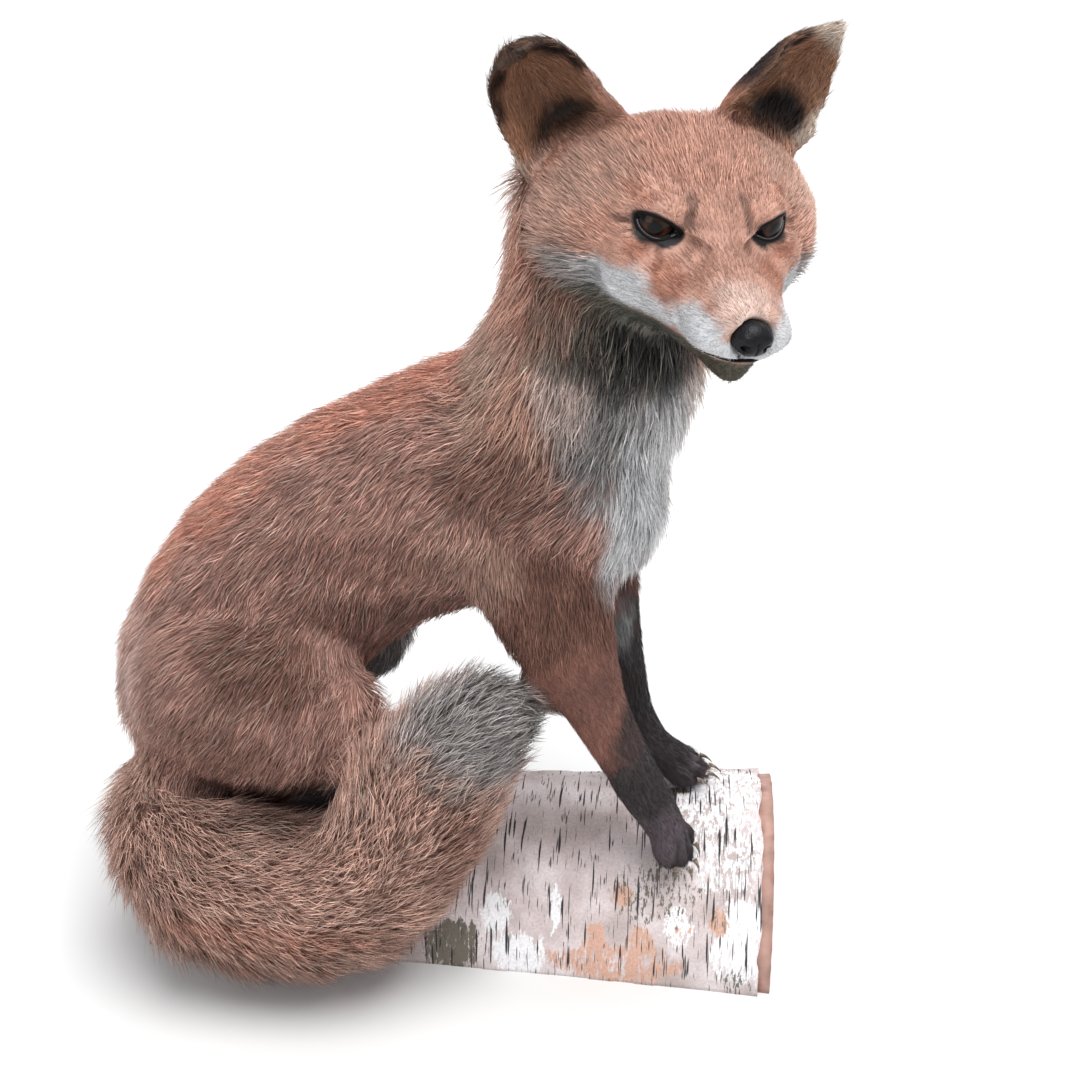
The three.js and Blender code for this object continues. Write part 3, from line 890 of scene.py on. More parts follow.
# Markings inside the ears, and painted shade in their hollows: how high (0 root, 1 tip), how far to
# the upper edge (-1 to 1), the half sizes of both, tone and strength.
EAR_MARKS_AND_SHADE = {
    "right": [
        # right ear: the near black mark low in the middle is painted shade in the hollow
        ((0.56, 0.0), (0.5, 1.0), EAR_TAN, 0.95), ((0.24, 0.0), (0.2, 0.62), INK, 1.0),
        ((0.36, 0.9), (0.26, 0.26), ORANGE, 1.0), ((0.15, 0.95), (0.15, 0.22), ORANGE, 1.0),
        ((0.08, -0.6), (0.16, 0.42), GREY, 0.6), ((1.0, 0.1), (0.17, 0.8), EAR_DARK, 1.0),
        ((0.87, 0.55), (0.16, 0.3), EAR_DARK, 1.0), ((0.72, 0.76), (0.17, 0.2), EAR_DARK, 1.0),
        ((0.88, -0.58), (0.15, 0.3), EAR_DARK, 1.0), ((0.7, -0.84), (0.2, 0.22), EAR_DARK, 1.0),
        ((0.52, -0.98), (0.15, 0.14), EAR_DARK, 1.0), ((0.3, -1.0), (0.2, 0.16), CREAM, 0.7),
    ],
    "left": [
        # left ear: the near black mark is painted shade in the hollow
        ((0.5, 0.2), (0.6, 0.9), EAR_TAN, 0.95), ((0.32, -0.45), (0.22, 0.42), INK, 1.0),
        ((0.58, 0.66), (0.16, 0.2), EAR_DARK, 1.0), ((0.78, 0.42), (0.12, 0.2), EAR_DARK, 1.0),
        ((0.4, 0.96), (0.14, 0.2), EAR_DARK, 1.0), ((0.05, -0.2), (0.1, 0.9), RUSSET, 0.8),
        ((0.98, 0.0), (0.16, 1.4), CREAM, 1.0), ((0.6, -0.86), (0.4, 0.15), CREAM, 0.8),
    ],
}


def cover(places_mm, middle, half, ragged):
    """How strongly a marking covers each place, with a ragged edge."""
    gap = np.linalg.norm((places_mm - np.array(middle)) / np.array(half), axis=1)
    return 1 - ease(0.62, 1.18, gap + ragged)


def markings_and_shade(points, shares):
    """The coat's colour at each place: markings, and painted shade under the jaw, in creases and in hollows."""
    colour = np.zeros((len(points), 3))
    for index, region in enumerate(REGIONS):
        colour += shares[:, index : index + 1] * BASE_TONES[kind(region)]
    ragged = 0.22 * noise(points, 0.012, 5) + 0.12 * noise(points, 0.004, 6)
    head = to_head(points) / MM
    on_head = shares[:, [REGIONS.index(r) for r in HEAD_REGIONS]].sum(1)
    on_head = np.clip(on_head + shares[:, REGIONS.index("neck")] * 0.9, 0, 1)
    on_body = 1 - shares[:, [REGIONS.index(r) for r in HEAD_REGIONS]].sum(1)
    for middle, half, shade, strength in HEAD_MARKS_AND_SHADE:
        for side in (-1, 1):
            cell = cover(head, (middle[0], middle[1] * side, middle[2]), half, ragged * 0.8)
            share = (cell * strength * on_head)[:, None]
            colour = colour * (1 - share) + shade * share
    for side in (-1, 1):
        rim = ((1 - ease(1.06, 1.36, lid_past(head, side))) * on_head)[:, None]
        colour = colour * (1 - rim) + INK * rim
    lips = ((1 - ease(1.3, 2.3, mouth_gap(head))) * on_head)[:, None]
    colour = colour * (1 - lips) + INK * lips
    body = points / MM
    ears = shares[:, [i for i, r in enumerate(REGIONS) if r.startswith("ear")]].sum(1)
    on_tail = shares[:, REGIONS.index("tail")]
    for marks, belongs in ((BODY_MARKS_AND_SHADE, on_body * (1 - ears)), (TAIL_MARKS, on_tail)):
        for middle, half, shade, strength in marks:
            share = (cover(body, middle, half, ragged) * strength * belongs)[:, None]
            colour = colour * (1 - share) + shade * share
    for side in ("right", "left"):
        colour = ear_markings_and_shade(colour, head, shares, side)
    streak = noise(points * np.array((1, 1, 0.4)), 0.005, 9)
    mottle = noise(points * np.array((1, 1, 0.7)), 0.013, 10)
    # the furrows between the toes are darkened here as painted shade
    depth, _ = between_toes(points)
    return colour * np.exp(0.20 * streak + 0.20 * mottle * (1 - on_head) - 0.9 * depth)[:, None]


def ear_markings_and_shade(colour, head, shares, side):
    """The painted shade in the hollow, and the edges and tip of an ear."""
    root, axis, facing, across = ear_axes(side)
    local = head * MM - root
    upper_way = 1 if side == "right" else -1
    high = local @ axis / (axis @ axis)
    wide = upper_way * (local @ across) / (EARS[side]["width"] * MM)
    place = np.stack([high, wide, np.zeros(len(high))], axis=1)
    inside = shares[:, REGIONS.index(f"ear_inside_{side}")]
    behind = shares[:, REGIONS.index(f"ear_back_{side}")]
    ragged = 0.14 * noise(head, 4, 8)
    for (middle_high, middle_wide), half, shade, strength in EAR_MARKS_AND_SHADE[side]:
        cell = cover(place, (middle_high, middle_wide, 0), (*half, 1), ragged)
        share = (cell * strength * inside)[:, None]
        colour = colour * (1 - share) + shade * share
    low = ((1 - ease(0.02, 0.4, high)) * behind * 0.9)[:, None]
    return colour * (1 - low) + RUSSET * low


# ---- tufts ---------------------------------------------------------------------------------------


def tuft_curves(root, normal, way, grow, rng):
    """The line that each tuft follows, root to tip."""
    count = len(root)
    segments = grow["segments"]
    side = np.cross(normal, way)
    lift = grow["lift"] * rng.uniform(0.6, 1.35, count)
    bend = rng.uniform(0.5, 1.0, count)
    curl = rng.normal(0, grow["curl"], count)
    place = root - normal * (SINK * grow["length"])[:, None]
    line = [place]
    for step in range(segments):
        part = (step + 0.5) / segments
        angle = (lift * (1 - bend * part))[:, None]
        heading = way * np.cos(angle) + normal * np.sin(angle) + side * (curl * part)[:, None]
        place = place + unit(heading) * (grow["length"] / segments)[:, None]
        line.append(place)
    return np.stack(line, axis=1)


def gather(lines, root, lock, spacing, rng):
    """Draws the tufts together in locks that share a tip."""
    count = len(lines)
    if count < 50:
        return lines
    leaders = rng.choice(count, max(8, int(count * spacing)), replace=False)
    tree = KDTree(len(leaders))
    for index, place in zip(leaders.tolist(), root[leaders].tolist()):
        tree.insert(place, index)
    tree.balance()
    leader = np.array([tree.find(place)[1] for place in root.tolist()])
    rise = np.linspace(0, 1, lines.shape[1])[None, :, None] ** 1.5
    return lines + (lines[leader] - lines) * rise * lock[:, None, None]


def kept_clear(lines, half_width):
    """Lines moved out of the log and the floor."""
    x, y, z = np.moveaxis(lines, -1, 0)
    clear = log_radius(x) + half_width + 0.4 * MM
    gap = np.hypot(y, z)
    inside = (gap < clear) & (np.abs(x) < LOG_LENGTH / 2 + 1 * MM)
    push = np.where(inside, clear / np.maximum(gap, 1e-6), 1)
    return np.stack([x, y * push, np.maximum(z * push, half_width + 0.3 * MM)], axis=-1)


def clear_of_eyes(lines):
    """Which lines don't cross the open part of an eye or the nose."""
    head = to_head(lines.reshape(-1, 3)).reshape(lines.shape)
    keep = np.ones(len(lines), bool)
    for side in (-1, 1):
        across, high, distance, ahead = toward_eye(head, side)
        open_part = (lid_measure(across, high)[0] < 1.1) & (ahead > 0) & (distance < 17 * MM)
        keep &= ~open_part.any(axis=1)
    gap = (head - np.array(NOSE_AT)) / (np.array((9.4, 11, 9.2)) * MM)
    return keep & (np.linalg.norm(gap, axis=2) > 0.97).all(axis=1)


def tuft_shell(lines, width, normal):
    """A thin closed three-sided spike along each line: its points and its triangles."""
    count, stops, _ = lines.shape
    rings = stops - 1
    heading = unit(np.gradient(lines, axis=1))
    flat = unit(np.cross(heading, np.broadcast_to(normal[:, None], heading.shape)))
    up = np.cross(flat, heading)
    taper = np.interp(np.arange(rings) / rings, (0, 0.35, 1), (0.8, 1, 0.35))
    half = (width[:, None] * taper[None])[..., None] * 0.5
    base = lines[:, :rings]
    left = base + flat[:, :rings] * half
    right = base - flat[:, :rings] * half
    top = base + up[:, :rings] * half * 0.9
    points = np.concatenate(
        [np.stack([left, right, top], axis=2).reshape(count, rings * 3, 3), lines[:, -1:]], axis=1
    )
    pattern = [(0, 2, 1)]
    for ring in range(rings - 1):
        for a, b in ((0, 1), (1, 2), (2, 0)):
            low_a, low_b = ring * 3 + a, ring * 3 + b
            pattern += [(low_a, low_b, low_b + 3), (low_a, low_b + 3, low_a + 3)]
    last = (rings - 1) * 3
    pattern += [(last + a, last + b, rings * 3) for a, b in ((0, 1), (1, 2), (2, 0))]
    return points, np.array(pattern)


def mesh_of(name, points, triangles):
    mesh = bpy.data.meshes.new(name)
    mesh.vertices.add(len(points))
    mesh.vertices.foreach_set("co", points.astype(np.float32).ravel())
    mesh.loops.add(triangles.size)
    mesh.loops.foreach_set("vertex_index", triangles.astype(np.int32).ravel())
    mesh.polygons.add(len(triangles))
    mesh.polygons.foreach_set("loop_start", np.arange(0, triangles.size, 3, dtype=np.int32))
    mesh.polygons.foreach_set("use_smooth", np.ones(len(triangles), bool))
    mesh.update(calc_edges=True)
    return mesh


def unwrapped(points, triangles):
    """Each triangle's corners on a flat map of this part of the skin."""
    used, local = np.unique(triangles, return_inverse=True)
    mesh = mesh_of("map", points[used], local.reshape(-1, 3))
    thing = new_object("map", mesh)
    mesh.uv_layers.new(name="map")
    bpy.context.view_layer.objects.active = thing
    thing.select_set(True)
    bpy.ops.object.mode_set(mode="EDIT")
    bpy.ops.mesh.select_all(action="SELECT")
    bpy.ops.uv.smart_project(angle_limit=math.radians(72), island_margin=0.004)
    bpy.ops.object.mode_set(mode="OBJECT")
    found = np.empty(len(mesh.loops) * 2, np.float32)
    mesh.uv_layers[0].data.foreach_get("uv", found)
    bpy.data.objects.remove(thing)
    return found.reshape(-1, 3, 2)


def region_values(name, shares):
    """A number of the coat's, blended between the regions."""
    values = np.array([COAT[kind(region)][name] for region in REGIONS])
    return shares @ values / np.maximum(shares.sum(1), 1e-6)


def grow_piece(skin, shares, piece, rng):
    """All the tufts of one part of the coat, as parts that are small enough each."""
    points = places(skin)
    normals = point_normals(skin)
    triangles = triangles_of(skin)
    main = shares[triangles].sum(1).argmax(1)
    members = [i for i, region in enumerate(REGIONS) if COAT[kind(region)]["piece"] == piece]
    triangles = triangles[np.isin(main, members)]
    map_corners = unwrapped(points, triangles)
    corner = points[triangles]
    area = np.linalg.norm(np.cross(corner[:, 1] - corner[:, 0], corner[:, 2] - corner[:, 0]), axis=1) / 2
    thickness = region_values("thickness", shares[triangles].mean(1)) * 1e4 * TUFT_SHARE
    counts = (area * thickness + rng.random(len(area))).astype(int)
    face = np.repeat(np.arange(len(triangles)), counts)
    share = rng.dirichlet((1, 1, 1), len(face))
    mix = lambda values: (values[triangles[face]] * share[..., None]).sum(1)
    root = mix(points)
    normal = unit(mix(normals))
    belongs = mix(shares)
    place_on_map = (map_corners[face] * share[..., None]).sum(1)
    way = laid(root, normal, belongs)
    long = region_values("length", belongs) * rng.uniform(0.62, 1.25, len(root))
    long *= 1 + 0.18 * noise(root, 0.02, 4)
    wide = region_values("width", belongs) * rng.uniform(0.7, 1.3, len(root))
    segments = max(COAT[kind(REGIONS[i])]["segments"] for i in members)
    grow = {"segments": segments, "length": long}
    grow["lift"] = region_values("lift", belongs)
    grow["curl"] = region_values("curl", belongs)
    grow["length"] = long * length_factor(root, belongs)
    lines = tuft_curves(root, normal, way, grow, rng)
    lines = gather(lines, root, region_values("lock", belongs), 0.05, rng)
    lines = kept_clear(lines, wide[:, None] * 0.5)
    keep = clear_of_eyes(lines) & (mouth_gap(to_head(lines[:, -1]) / MM) > 1.1)
    lines, normal, wide, root = lines[keep], normal[keep], wide[keep], root[keep]
    belongs, place_on_map = belongs[keep], place_on_map[keep]
    shell, pattern = tuft_shell(lines, wide, normal)
    colours = tuft_colours(lines, belongs, rng)
    return shell, pattern, colours, place_on_map, root


def length_factor(root, belongs):
    """Shorter hair round the eyes and at the lips, at the tail's end, at the ears' edges, and far ahead in the
    head's frame.
    """
    head = to_head(root)
    factor = np.ones(len(root))
    for side in (-1, 1):
        centre, _ = eye_axes(side)
        gap = np.linalg.norm(head - centre, axis=1) / MM
        factor *= 0.5 + 0.5 * ease(12, 20, gap)
    factor *= 0.45 + 0.55 * ease(1.5, 7, mouth_gap(head / MM))
    tail_end = belongs[:, REGIONS.index("tail")] * ease(-0.01, 0.05, root[:, 0]) * ease(0.13, 0.18, root[:, 2])
    factor *= 1 - 0.4 * tail_end
    for side in ("right", "left"):
        ear_root, axis, facing, across = ear_axes(side)
        wide = np.abs((head - ear_root) @ across) / (EARS[side]["width"] * MM)
        on_ear = belongs[:, REGIONS.index(f"ear_inside_{side}")]
        factor *= 1 - 0.45 * on_ear * ease(0.6, 0.95, wide)
    front = ease(20, 60, head[:, 0] / MM)
    return factor * (1 - 0.35 * front)


def tuft_colours(lines, belongs, rng):
    """The markings and painted shade at each tuft, darker at its root and a little lighter at the very tip as
    painted light, with pale and dark hairs among the rest.
    """
    count, stops, _ = lines.shape
    rings = stops - 1
    shown = lines[:, 0] * 0.45 + lines[:, -1] * 0.55
    base = markings_and_shade(shown, belongs)
    furry = belongs[:, [REGIONS.index(r) for r in ("neck", "trunk", "tail")]].sum(1)
    base = base * np.exp(rng.normal(0, 1, count) * (0.20 + 0.10 * furry))[:, None]
    grizzled = belongs[:, [REGIONS.index(r) for r in ("neck", "trunk", "tail")]].sum(1)
    grizzled += belongs[:, [i for i, r in enumerate(REGIONS) if r.startswith("thigh")]].sum(1)
    pick = rng.random(count)
    pale = (pick < 0.14 * grizzled)[:, None]
    dark = (pick > 1 - 0.13 * grizzled)[:, None]
    tip = np.where(pale, base * 0.45 + CREAM * 0.5, base)
    tip = np.where(dark, base * 0.30, tip)
    stations = []
    for ring in range(rings):
        part = ring / rings
        root_shade = 0.58 + 0.42 * min(1, part * 2.2)
        stations += [(base * (1 - part) + tip * part) * root_shade] * 3
    # the very tip is made a little lighter: painted light on the hair tips
    stations.append(tip * 1.08)
    return np.clip(np.stack(stations, axis=1), 0, 1)


def coat_pieces(skin, shares):
    """Every part of the coat as its own mesh objects, one or more for each piece of the coat."""
    made = []
    for number, piece in enumerate(sorted({c["piece"] for c in COAT.values()})):
        rng = np.random.default_rng(SEED + number)
        shell, pattern, colours, on_map, root = grow_piece(skin, shares, piece, rng)
        order = np.argsort(root @ np.array((0.8, 0.1, 0.6)))
        parts = math.ceil(len(order) * len(pattern) / PIECE_LIMIT)
        for part, rows in enumerate(np.array_split(order, parts)):
            name = f"coat_{piece}" if parts == 1 else f"coat_{piece}_{part + 1}"
            points = shell[rows]
            count, each, _ = points.shape
            triangles = (pattern[None] + np.arange(count)[:, None, None] * each).reshape(-1, 3)
            mesh = mesh_of(name, points.reshape(-1, 3), triangles)
            set_colours(mesh, "coat", colours[rows].reshape(-1, 3))
            along = np.linspace(-0.5, 0.5, each)
            spread = np.stack([along, np.tile((-0.5, 0.5, 0), each)[:each]], axis=1) * PATCH
            uv = (np.clip(on_map[rows], PATCH, 1 - PATCH)[:, None] + spread).reshape(-1, 2)
            layer = mesh.uv_layers.new(name="OFBake")
            layer.data.foreach_set("uv", uv[triangles.ravel()].astype(np.float32).ravel())
            made.append(new_object(name, mesh))
    return made


# ---- materials -----------------------------------------------------------------------------------


def material(name, **values):
    """A material with one Principled shader whose plain sockets take values."""
    made = bpy.data.materials.new(name)
    made.use_nodes = True
    shader = made.node_tree.nodes["Principled BSDF"]
    for socket, value in values.items():
        shader.inputs[socket.replace("_", " ")].default_value = value
    return made, made.node_tree, shader


def add(tree, kind_name, **settings):
    node = tree.nodes.new(kind_name)
    for key, value in settings.items():
        setattr(node, key, value)
    return node


def wire(tree, source, target):
    tree.links.new(source, target)


def ramp(tree, stops):
    node = add(tree, "ShaderNodeValToRGB")
    while len(node.color_ramp.elements) < len(stops):
        node.color_ramp.elements.new(0.5)
    for element, (position, colour) in zip(node.color_ramp.elements, stops):
        element.position = position
        element.color = (*colour, 1)
    return node


def textured(tree, kind_name, scale, stretch=(1, 1, 1), **inputs):
    """A texture that reads the piece's own coordinates, stretched along the axes."""
    place = add(tree, "ShaderNodeTexCoord")
    mapping = add(tree, "ShaderNodeMapping")
    mapping.inputs["Scale"].default_value = stretch
    texture = add(tree, kind_name)
    texture.inputs["Scale"].default_value = scale
    for key, value in inputs.items():
        texture.inputs[key.replace("_", " ")].default_value = value
    wire(tree, place.outputs["Object"], mapping.inputs["Vector"])
    wire(tree, mapping.outputs["Vector"], texture.inputs["Vector"])
    return texture


def mixed(tree, factor, first, second, blend="MIX"):
    """Two colours mixed. Each may be a socket or a plain value."""
    node = add(tree, "ShaderNodeMix", data_type="RGBA", blend_type=blend)
    for value, socket in ((factor, node.inputs[0]), (first, node.inputs[6]), (second, node.inputs[7])):
        if isinstance(value, bpy.types.NodeSocket):
            wire(tree, value, socket)
        else:
            socket.default_value = value if np.isscalar(value) else (*value, 1)
    return node.outputs[2]


def bumped(tree, shader, height, strength, distance):
    bump = add(tree, "ShaderNodeBump")
    bump.inputs["Strength"].default_value = strength
    bump.inputs["Distance"].default_value = distance
    wire(tree, height, bump.inputs["Height"])
    wire(tree, bump.outputs["Normal"], shader.inputs["Normal"])


def fur_material(name, roughness):
    made, tree, shader = material(name, Roughness=roughness, Specular_IOR_Level=0.32)
    colour = add(tree, "ShaderNodeAttribute", attribute_name="coat")
    grain = textured(tree, "ShaderNodeTexNoise", 900, Detail=3.0)
    shades = ramp(tree, [(0.3, (0.86, 0.86, 0.86)), (0.7, (1.12, 1.12, 1.12))])
    wire(tree, grain.outputs["Fac"], shades.inputs["Fac"])
    result = mixed(tree, 1.0, colour.outputs["Color"], shades.outputs["Color"], "MULTIPLY")
    wire(tree, result, shader.inputs["Base Color"])
    bumped(tree, shader, grain.outputs["Fac"], 0.35, 0.3 * MM)
    return made


def put(thing, surface, replaces=()):
    """Dresses a finished piece and seats it in the frame."""
    thing.data.materials.clear()
    thing.data.materials.append(surface)
    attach(thing, "root")
    if replaces:
        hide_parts(*replaces)


# ---- the fox -------------------------------------------------------------------------------------

skin_mesh, skin_shares = build_skin()
skin_places = places(skin_mesh)
set_colours(skin_mesh, "coat", np.clip(markings_and_shade(skin_places, skin_shares) * 0.7, 0, 1))
skin_mesh.polygons.foreach_set("use_smooth", np.ones(len(skin_mesh.polygons), bool))
skin = new_object("skin", skin_mesh)
fur = fur_material("fox fur", 0.55)
fur_black = fur_material("black fur", 0.5)
put(skin, fur, FLESH)
for piece in coat_pieces(skin_mesh, skin_shares):
    dark = "feet" in piece.name
    put(piece, fur_black if dark else fur)

# ---- eyes, nose, lids and claws -----------------------------------------------------------------


def turned_ball(radius, around, rings, place, axes):
    """A ball whose poles lie along its first axis, in the model's frame."""
    bm = bmesh.new()
    bmesh.ops.create_uvsphere(bm, u_segments=around, v_segments=rings, radius=radius)
    mesh = finished_mesh(bm, "ball")
    local = places(mesh)[:, [2, 0, 1]]
    set_places(mesh, from_head(local @ axes + place))
    return mesh


def glass_eye_material(name, side):
    """Dark glass: a black pupil, a streaked brown iris and a nearly black edge round it."""
    made, tree, shader = material(name, Roughness=0.06, Specular_IOR_Level=0.2)
    centre, axes = eye_axes(side)
    coordinates = add(tree, "ShaderNodeTexCoord")
    mapping = add(tree, "ShaderNodeMapping", vector_type="TEXTURE")
    turn = Matrix((HEAD_AXES @ axes.T).tolist())
    mapping.inputs["Location"].default_value = from_head(centre[None])[0]
    mapping.inputs["Rotation"].default_value = turn.to_euler()
    apart = add(tree, "ShaderNodeSeparateXYZ")
    flat = add(tree, "ShaderNodeCombineXYZ")
    far = add(tree, "ShaderNodeVectorMath", operation="LENGTH")
    wire(tree, coordinates.outputs["Object"], mapping.inputs["Vector"])
    wire(tree, mapping.outputs["Vector"], apart.inputs["Vector"])
    wire(tree, apart.outputs["Y"], flat.inputs["Y"])
    wire(tree, apart.outputs["Z"], flat.inputs["Z"])
    wire(tree, flat.outputs["Vector"], far.inputs[0])
    rings = ramp(tree, [
        (0.0, (0.001, 0.001, 0.001)), (0.32, (0.001, 0.001, 0.001)), (0.38, (0.022, 0.008, 0.004)),
        (0.50, (0.040, 0.014, 0.007)), (0.60, (0.016, 0.006, 0.004)), (0.68, (0.002, 0.001, 0.001)),
    ])
    scale = add(tree, "ShaderNodeMath", operation="MULTIPLY")
    scale.inputs[1].default_value = 100
    wire(tree, far.outputs["Value"], scale.inputs[0])
    wire(tree, scale.outputs["Value"], rings.inputs["Fac"])
    spokes = add(tree, "ShaderNodeVectorMath", operation="NORMALIZE")
    wire(tree, flat.outputs["Vector"], spokes.inputs[0])
    streaks = add(tree, "ShaderNodeTexNoise")
    streaks.inputs["Scale"].default_value = 14
    wire(tree, spokes.outputs["Vector"], streaks.inputs["Vector"])
    shades = ramp(tree, [(0.35, (0.55, 0.55, 0.55)), (0.65, (1.5, 1.5, 1.5))])
    wire(tree, streaks.outputs["Fac"], shades.inputs["Fac"])
    result = mixed(tree, 1.0, rings.outputs["Color"], shades.outputs["Color"], "MULTIPLY")
    wire(tree, result, shader.inputs["Base Color"])
    return made


def glass_eye(side):
    name = "left" if side > 0 else "right"
    centre, axes = eye_axes(side)
    mesh = turned_ball(EYE_RADIUS - 0.2 * MM, 64, 48, centre, axes)
    eye = new_object(f"glass_eye_{name}", mesh)
    put(eye, glass_eye_material(f"glass eye {name}", side), (f"eye_{name}",))


# Forms of the nose, from its middle, in millimetres: place, size and shift.
NOSE_FORMS = [
    ((8, 5.4, -1.8), (4.6, 3.2, 2.5), (-4.2, 0, 0)),  # nostril
    ((6.4, 8.6, -3.2), (4.6, 3.2, 1.7), (-1.8, -1.8, 0)),  # slit at the nostril's outer end
    ((7.4, 6.2, 2.8), (6.0, 4.6, 3.4), (0.5, 0.7, 0.3)),  # wing over the nostril
    ((4, 8.4, -7.5), (7, 5.5, 5.0), (-0.8, -2.6, 0.6)),  # the pad narrows below
]


def nose_leather():
    made, tree, shader = material("nose leather", Roughness=0.4, Specular_IOR_Level=0.22)
    pebbles = textured(tree, "ShaderNodeTexVoronoi", 1100)
    shades = ramp(tree, [(0.0, (0.012, 0.012, 0.016)), (0.6, (0.004, 0.004, 0.005))])
    wire(tree, pebbles.outputs["Distance"], shades.inputs["Fac"])
    wire(tree, shades.outputs["Color"], shader.inputs["Base Color"])
    bumped(tree, shader, pebbles.outputs["Distance"], 0.5, 0.25 * MM)
    return made


def nose():
    bm = bmesh.new()
    bmesh.ops.create_uvsphere(bm, u_segments=96, v_segments=64, radius=1)
    mesh = finished_mesh(bm, "nose")
    local = places(mesh)[:, [2, 0, 1]] * (8.8, 10.0, 8.4)
    for side in (-1, 1):
        for centre, radii, shift in NOSE_FORMS:
            mirrored = (centre[0], centre[1] * side, centre[2])
            moved = dent(local * MM, mirrored, radii, (shift[0], shift[1] * side, shift[2]))
            local = moved / MM
    groove = np.exp(-((local[:, 1] / 0.55) ** 2)) * ease(2, 6, local[:, 0]) * (1 - ease(1, 4, local[:, 2]))
    local[:, 0] -= 0.9 * groove
    set_places(mesh, from_head(local * MM + np.array(NOSE_AT)))
    put(new_object("nose_leather", mesh), nose_leather(), ("nose",))


def lids_skin():
    # black skin of the lids and lips, whose colour carries the pale painted highlight inside the lower lids
    made, tree, shader = material("wet black skin", Roughness=0.5, Specular_IOR_Level=0.14)
    colour = add(tree, "ShaderNodeAttribute", attribute_name="coat")
    grain = textured(tree, "ShaderNodeTexNoise", 1500)
    shades = ramp(tree, [(0.3, (0.7, 0.7, 0.7)), (0.7, (1.2, 1.2, 1.2))])
    wire(tree, grain.outputs["Fac"], shades.inputs["Fac"])
    result = mixed(tree, 1.0, colour.outputs["Color"], shades.outputs["Color"], "MULTIPLY")
    wire(tree, result, shader.inputs["Base Color"])
    bumped(tree, shader, grain.outputs["Fac"], 0.4, 0.2 * MM)
    return made


def claws():
    bm = bmesh.new()
    for place, heading in TOES.values():
        ahead, across, up = toe_axes(heading)
        for number in (-1.5, -0.5, 0.5, 1.5):
            root = np.array(place) + across * number * 9 + ahead * (14 - number * number * 3) + up * 1.5
            along = np.linspace(0, 1, 9)[:, None]
            line = root + ahead * along * 8.5 + up * (1.0 * along - 4.8 * along**2)
            bm.from_mesh(roll_along(line * MM, 1.5 * MM, shrink=(1, 0.12)))
    made, tree, shader = material("claw horn", Roughness=0.42)
    grain = textured(tree, "ShaderNodeTexNoise", 700, Detail=4.0)
    shades = ramp(tree, [(0.3, (0.05, 0.035, 0.03)), (0.55, (0.20, 0.15, 0.11)), (0.7, (0.42, 0.34, 0.26))])
    wire(tree, grain.outputs["Fac"], shades.inputs["Fac"])
    wire(tree, shades.outputs["Color"], shader.inputs["Base Color"])
    put(new_object("claws", finished_mesh(bm, "claws")), made)


for eye_side in (-1, 1):
    glass_eye(eye_side)
nose()
put(new_object("eyelid_rims", eyelid_rims()), lids_skin())
claws()

# ---- the log -------------------------------------------------------------------------------------

# Patches on the bark: middle, half sizes and how strongly they are white, peeled to orange or dark.
BARK_MARKS = [
    ((25, -66, 37), (10, 16, 14), (1, 0, 0)),
    ((40, -75, 12), (17, 14, 15), (1, 0, 0)),
    ((60, -66, 40), (3, 16, 16), (1, 0, 0)),
    ((172, -78, 34), (22, 22, 30), (1, 0, 0)),
    ((160, -40, 72), (34, 36, 24), (0.6, 0, 0)),
    ((150, 0, 82), (40, 40, 20), (0.75, 0, 0)),
    ((132, -72, 38), (10, 16, 14), (0.9, 0.3, 0)),
    ((96, -78, 12), (44, 20, 14), (0.5, 0.75, 0)),
    ((99, -64, 50), (7, 14, 7), (0, 1, 0)),
    ((84, -75, 27), (7, 14, 10), (0, 1, 0)),
    ((110, -76, 26), (9, 14, 9), (0.6, 1, 0)),
    ((155, -74, 42), (6, 14, 9), (0, 1, 0.3)),
    ((118, -62, 52), (28, 24, 18), (0.15, 0.2, 0.42)),
    ((168, -84, 8), (9, 14, 9), (0, 0, 0.5)),
    ((-2, -72, 12), (19, 20, 20), (0, 0, 1)),
    ((128, 2, 84), (11, 6, 8), (0, 0, 0.9)),
    ((-120, 60, 30), (60, 40, 30), (0.6, 0.2, 0)),
    ((40, 70, 30), (40, 30, 24), (0.8, 0.2, 0)),
    ((120, 74, 24), (30, 30, 20), (0.3, 0.8, 0.2)),
]


def bark_zones(points):
    """How white, peeled and dark the bark is at each place."""
    zones = np.zeros((len(points), 3))
    ragged = 0.2 * noise(points, 0.012, 3) + 0.12 * noise(points, 0.004, 4)
    for middle, half, strength in BARK_MARKS:
        zones = np.maximum(zones, cover(points / MM, middle, half, ragged)[:, None] * np.array(strength))
    return zones


def bark_relief(points):
    """How far the bark stands out: slow swellings and raised and sunken plates."""
    slow = 0.7 * noise(points, 0.06, 1) + 0.35 * noise(points, 0.02, 2)
    plates = 0.25 * np.sign(noise(points * np.array((1, 0.6, 0.6)), 0.013, 7) - 0.25)
    return (slow + plates) * MM


def add_bark_map(mesh):
    """Stores a map that is laid round the log: along it, and round it, in metres."""
    corners = np.empty(len(mesh.loops), np.int32)
    mesh.loops.foreach_get("vertex_index", corners)
    point = places(mesh)[corners]
    round_it = np.arctan2(point[:, 2], point[:, 1]) * LOG_RADIUS
    layer = mesh.uv_layers.new(name="bark")
    layer.data.foreach_set("uv", np.stack([point[:, 0], round_it], axis=1).astype(np.float32).ravel())


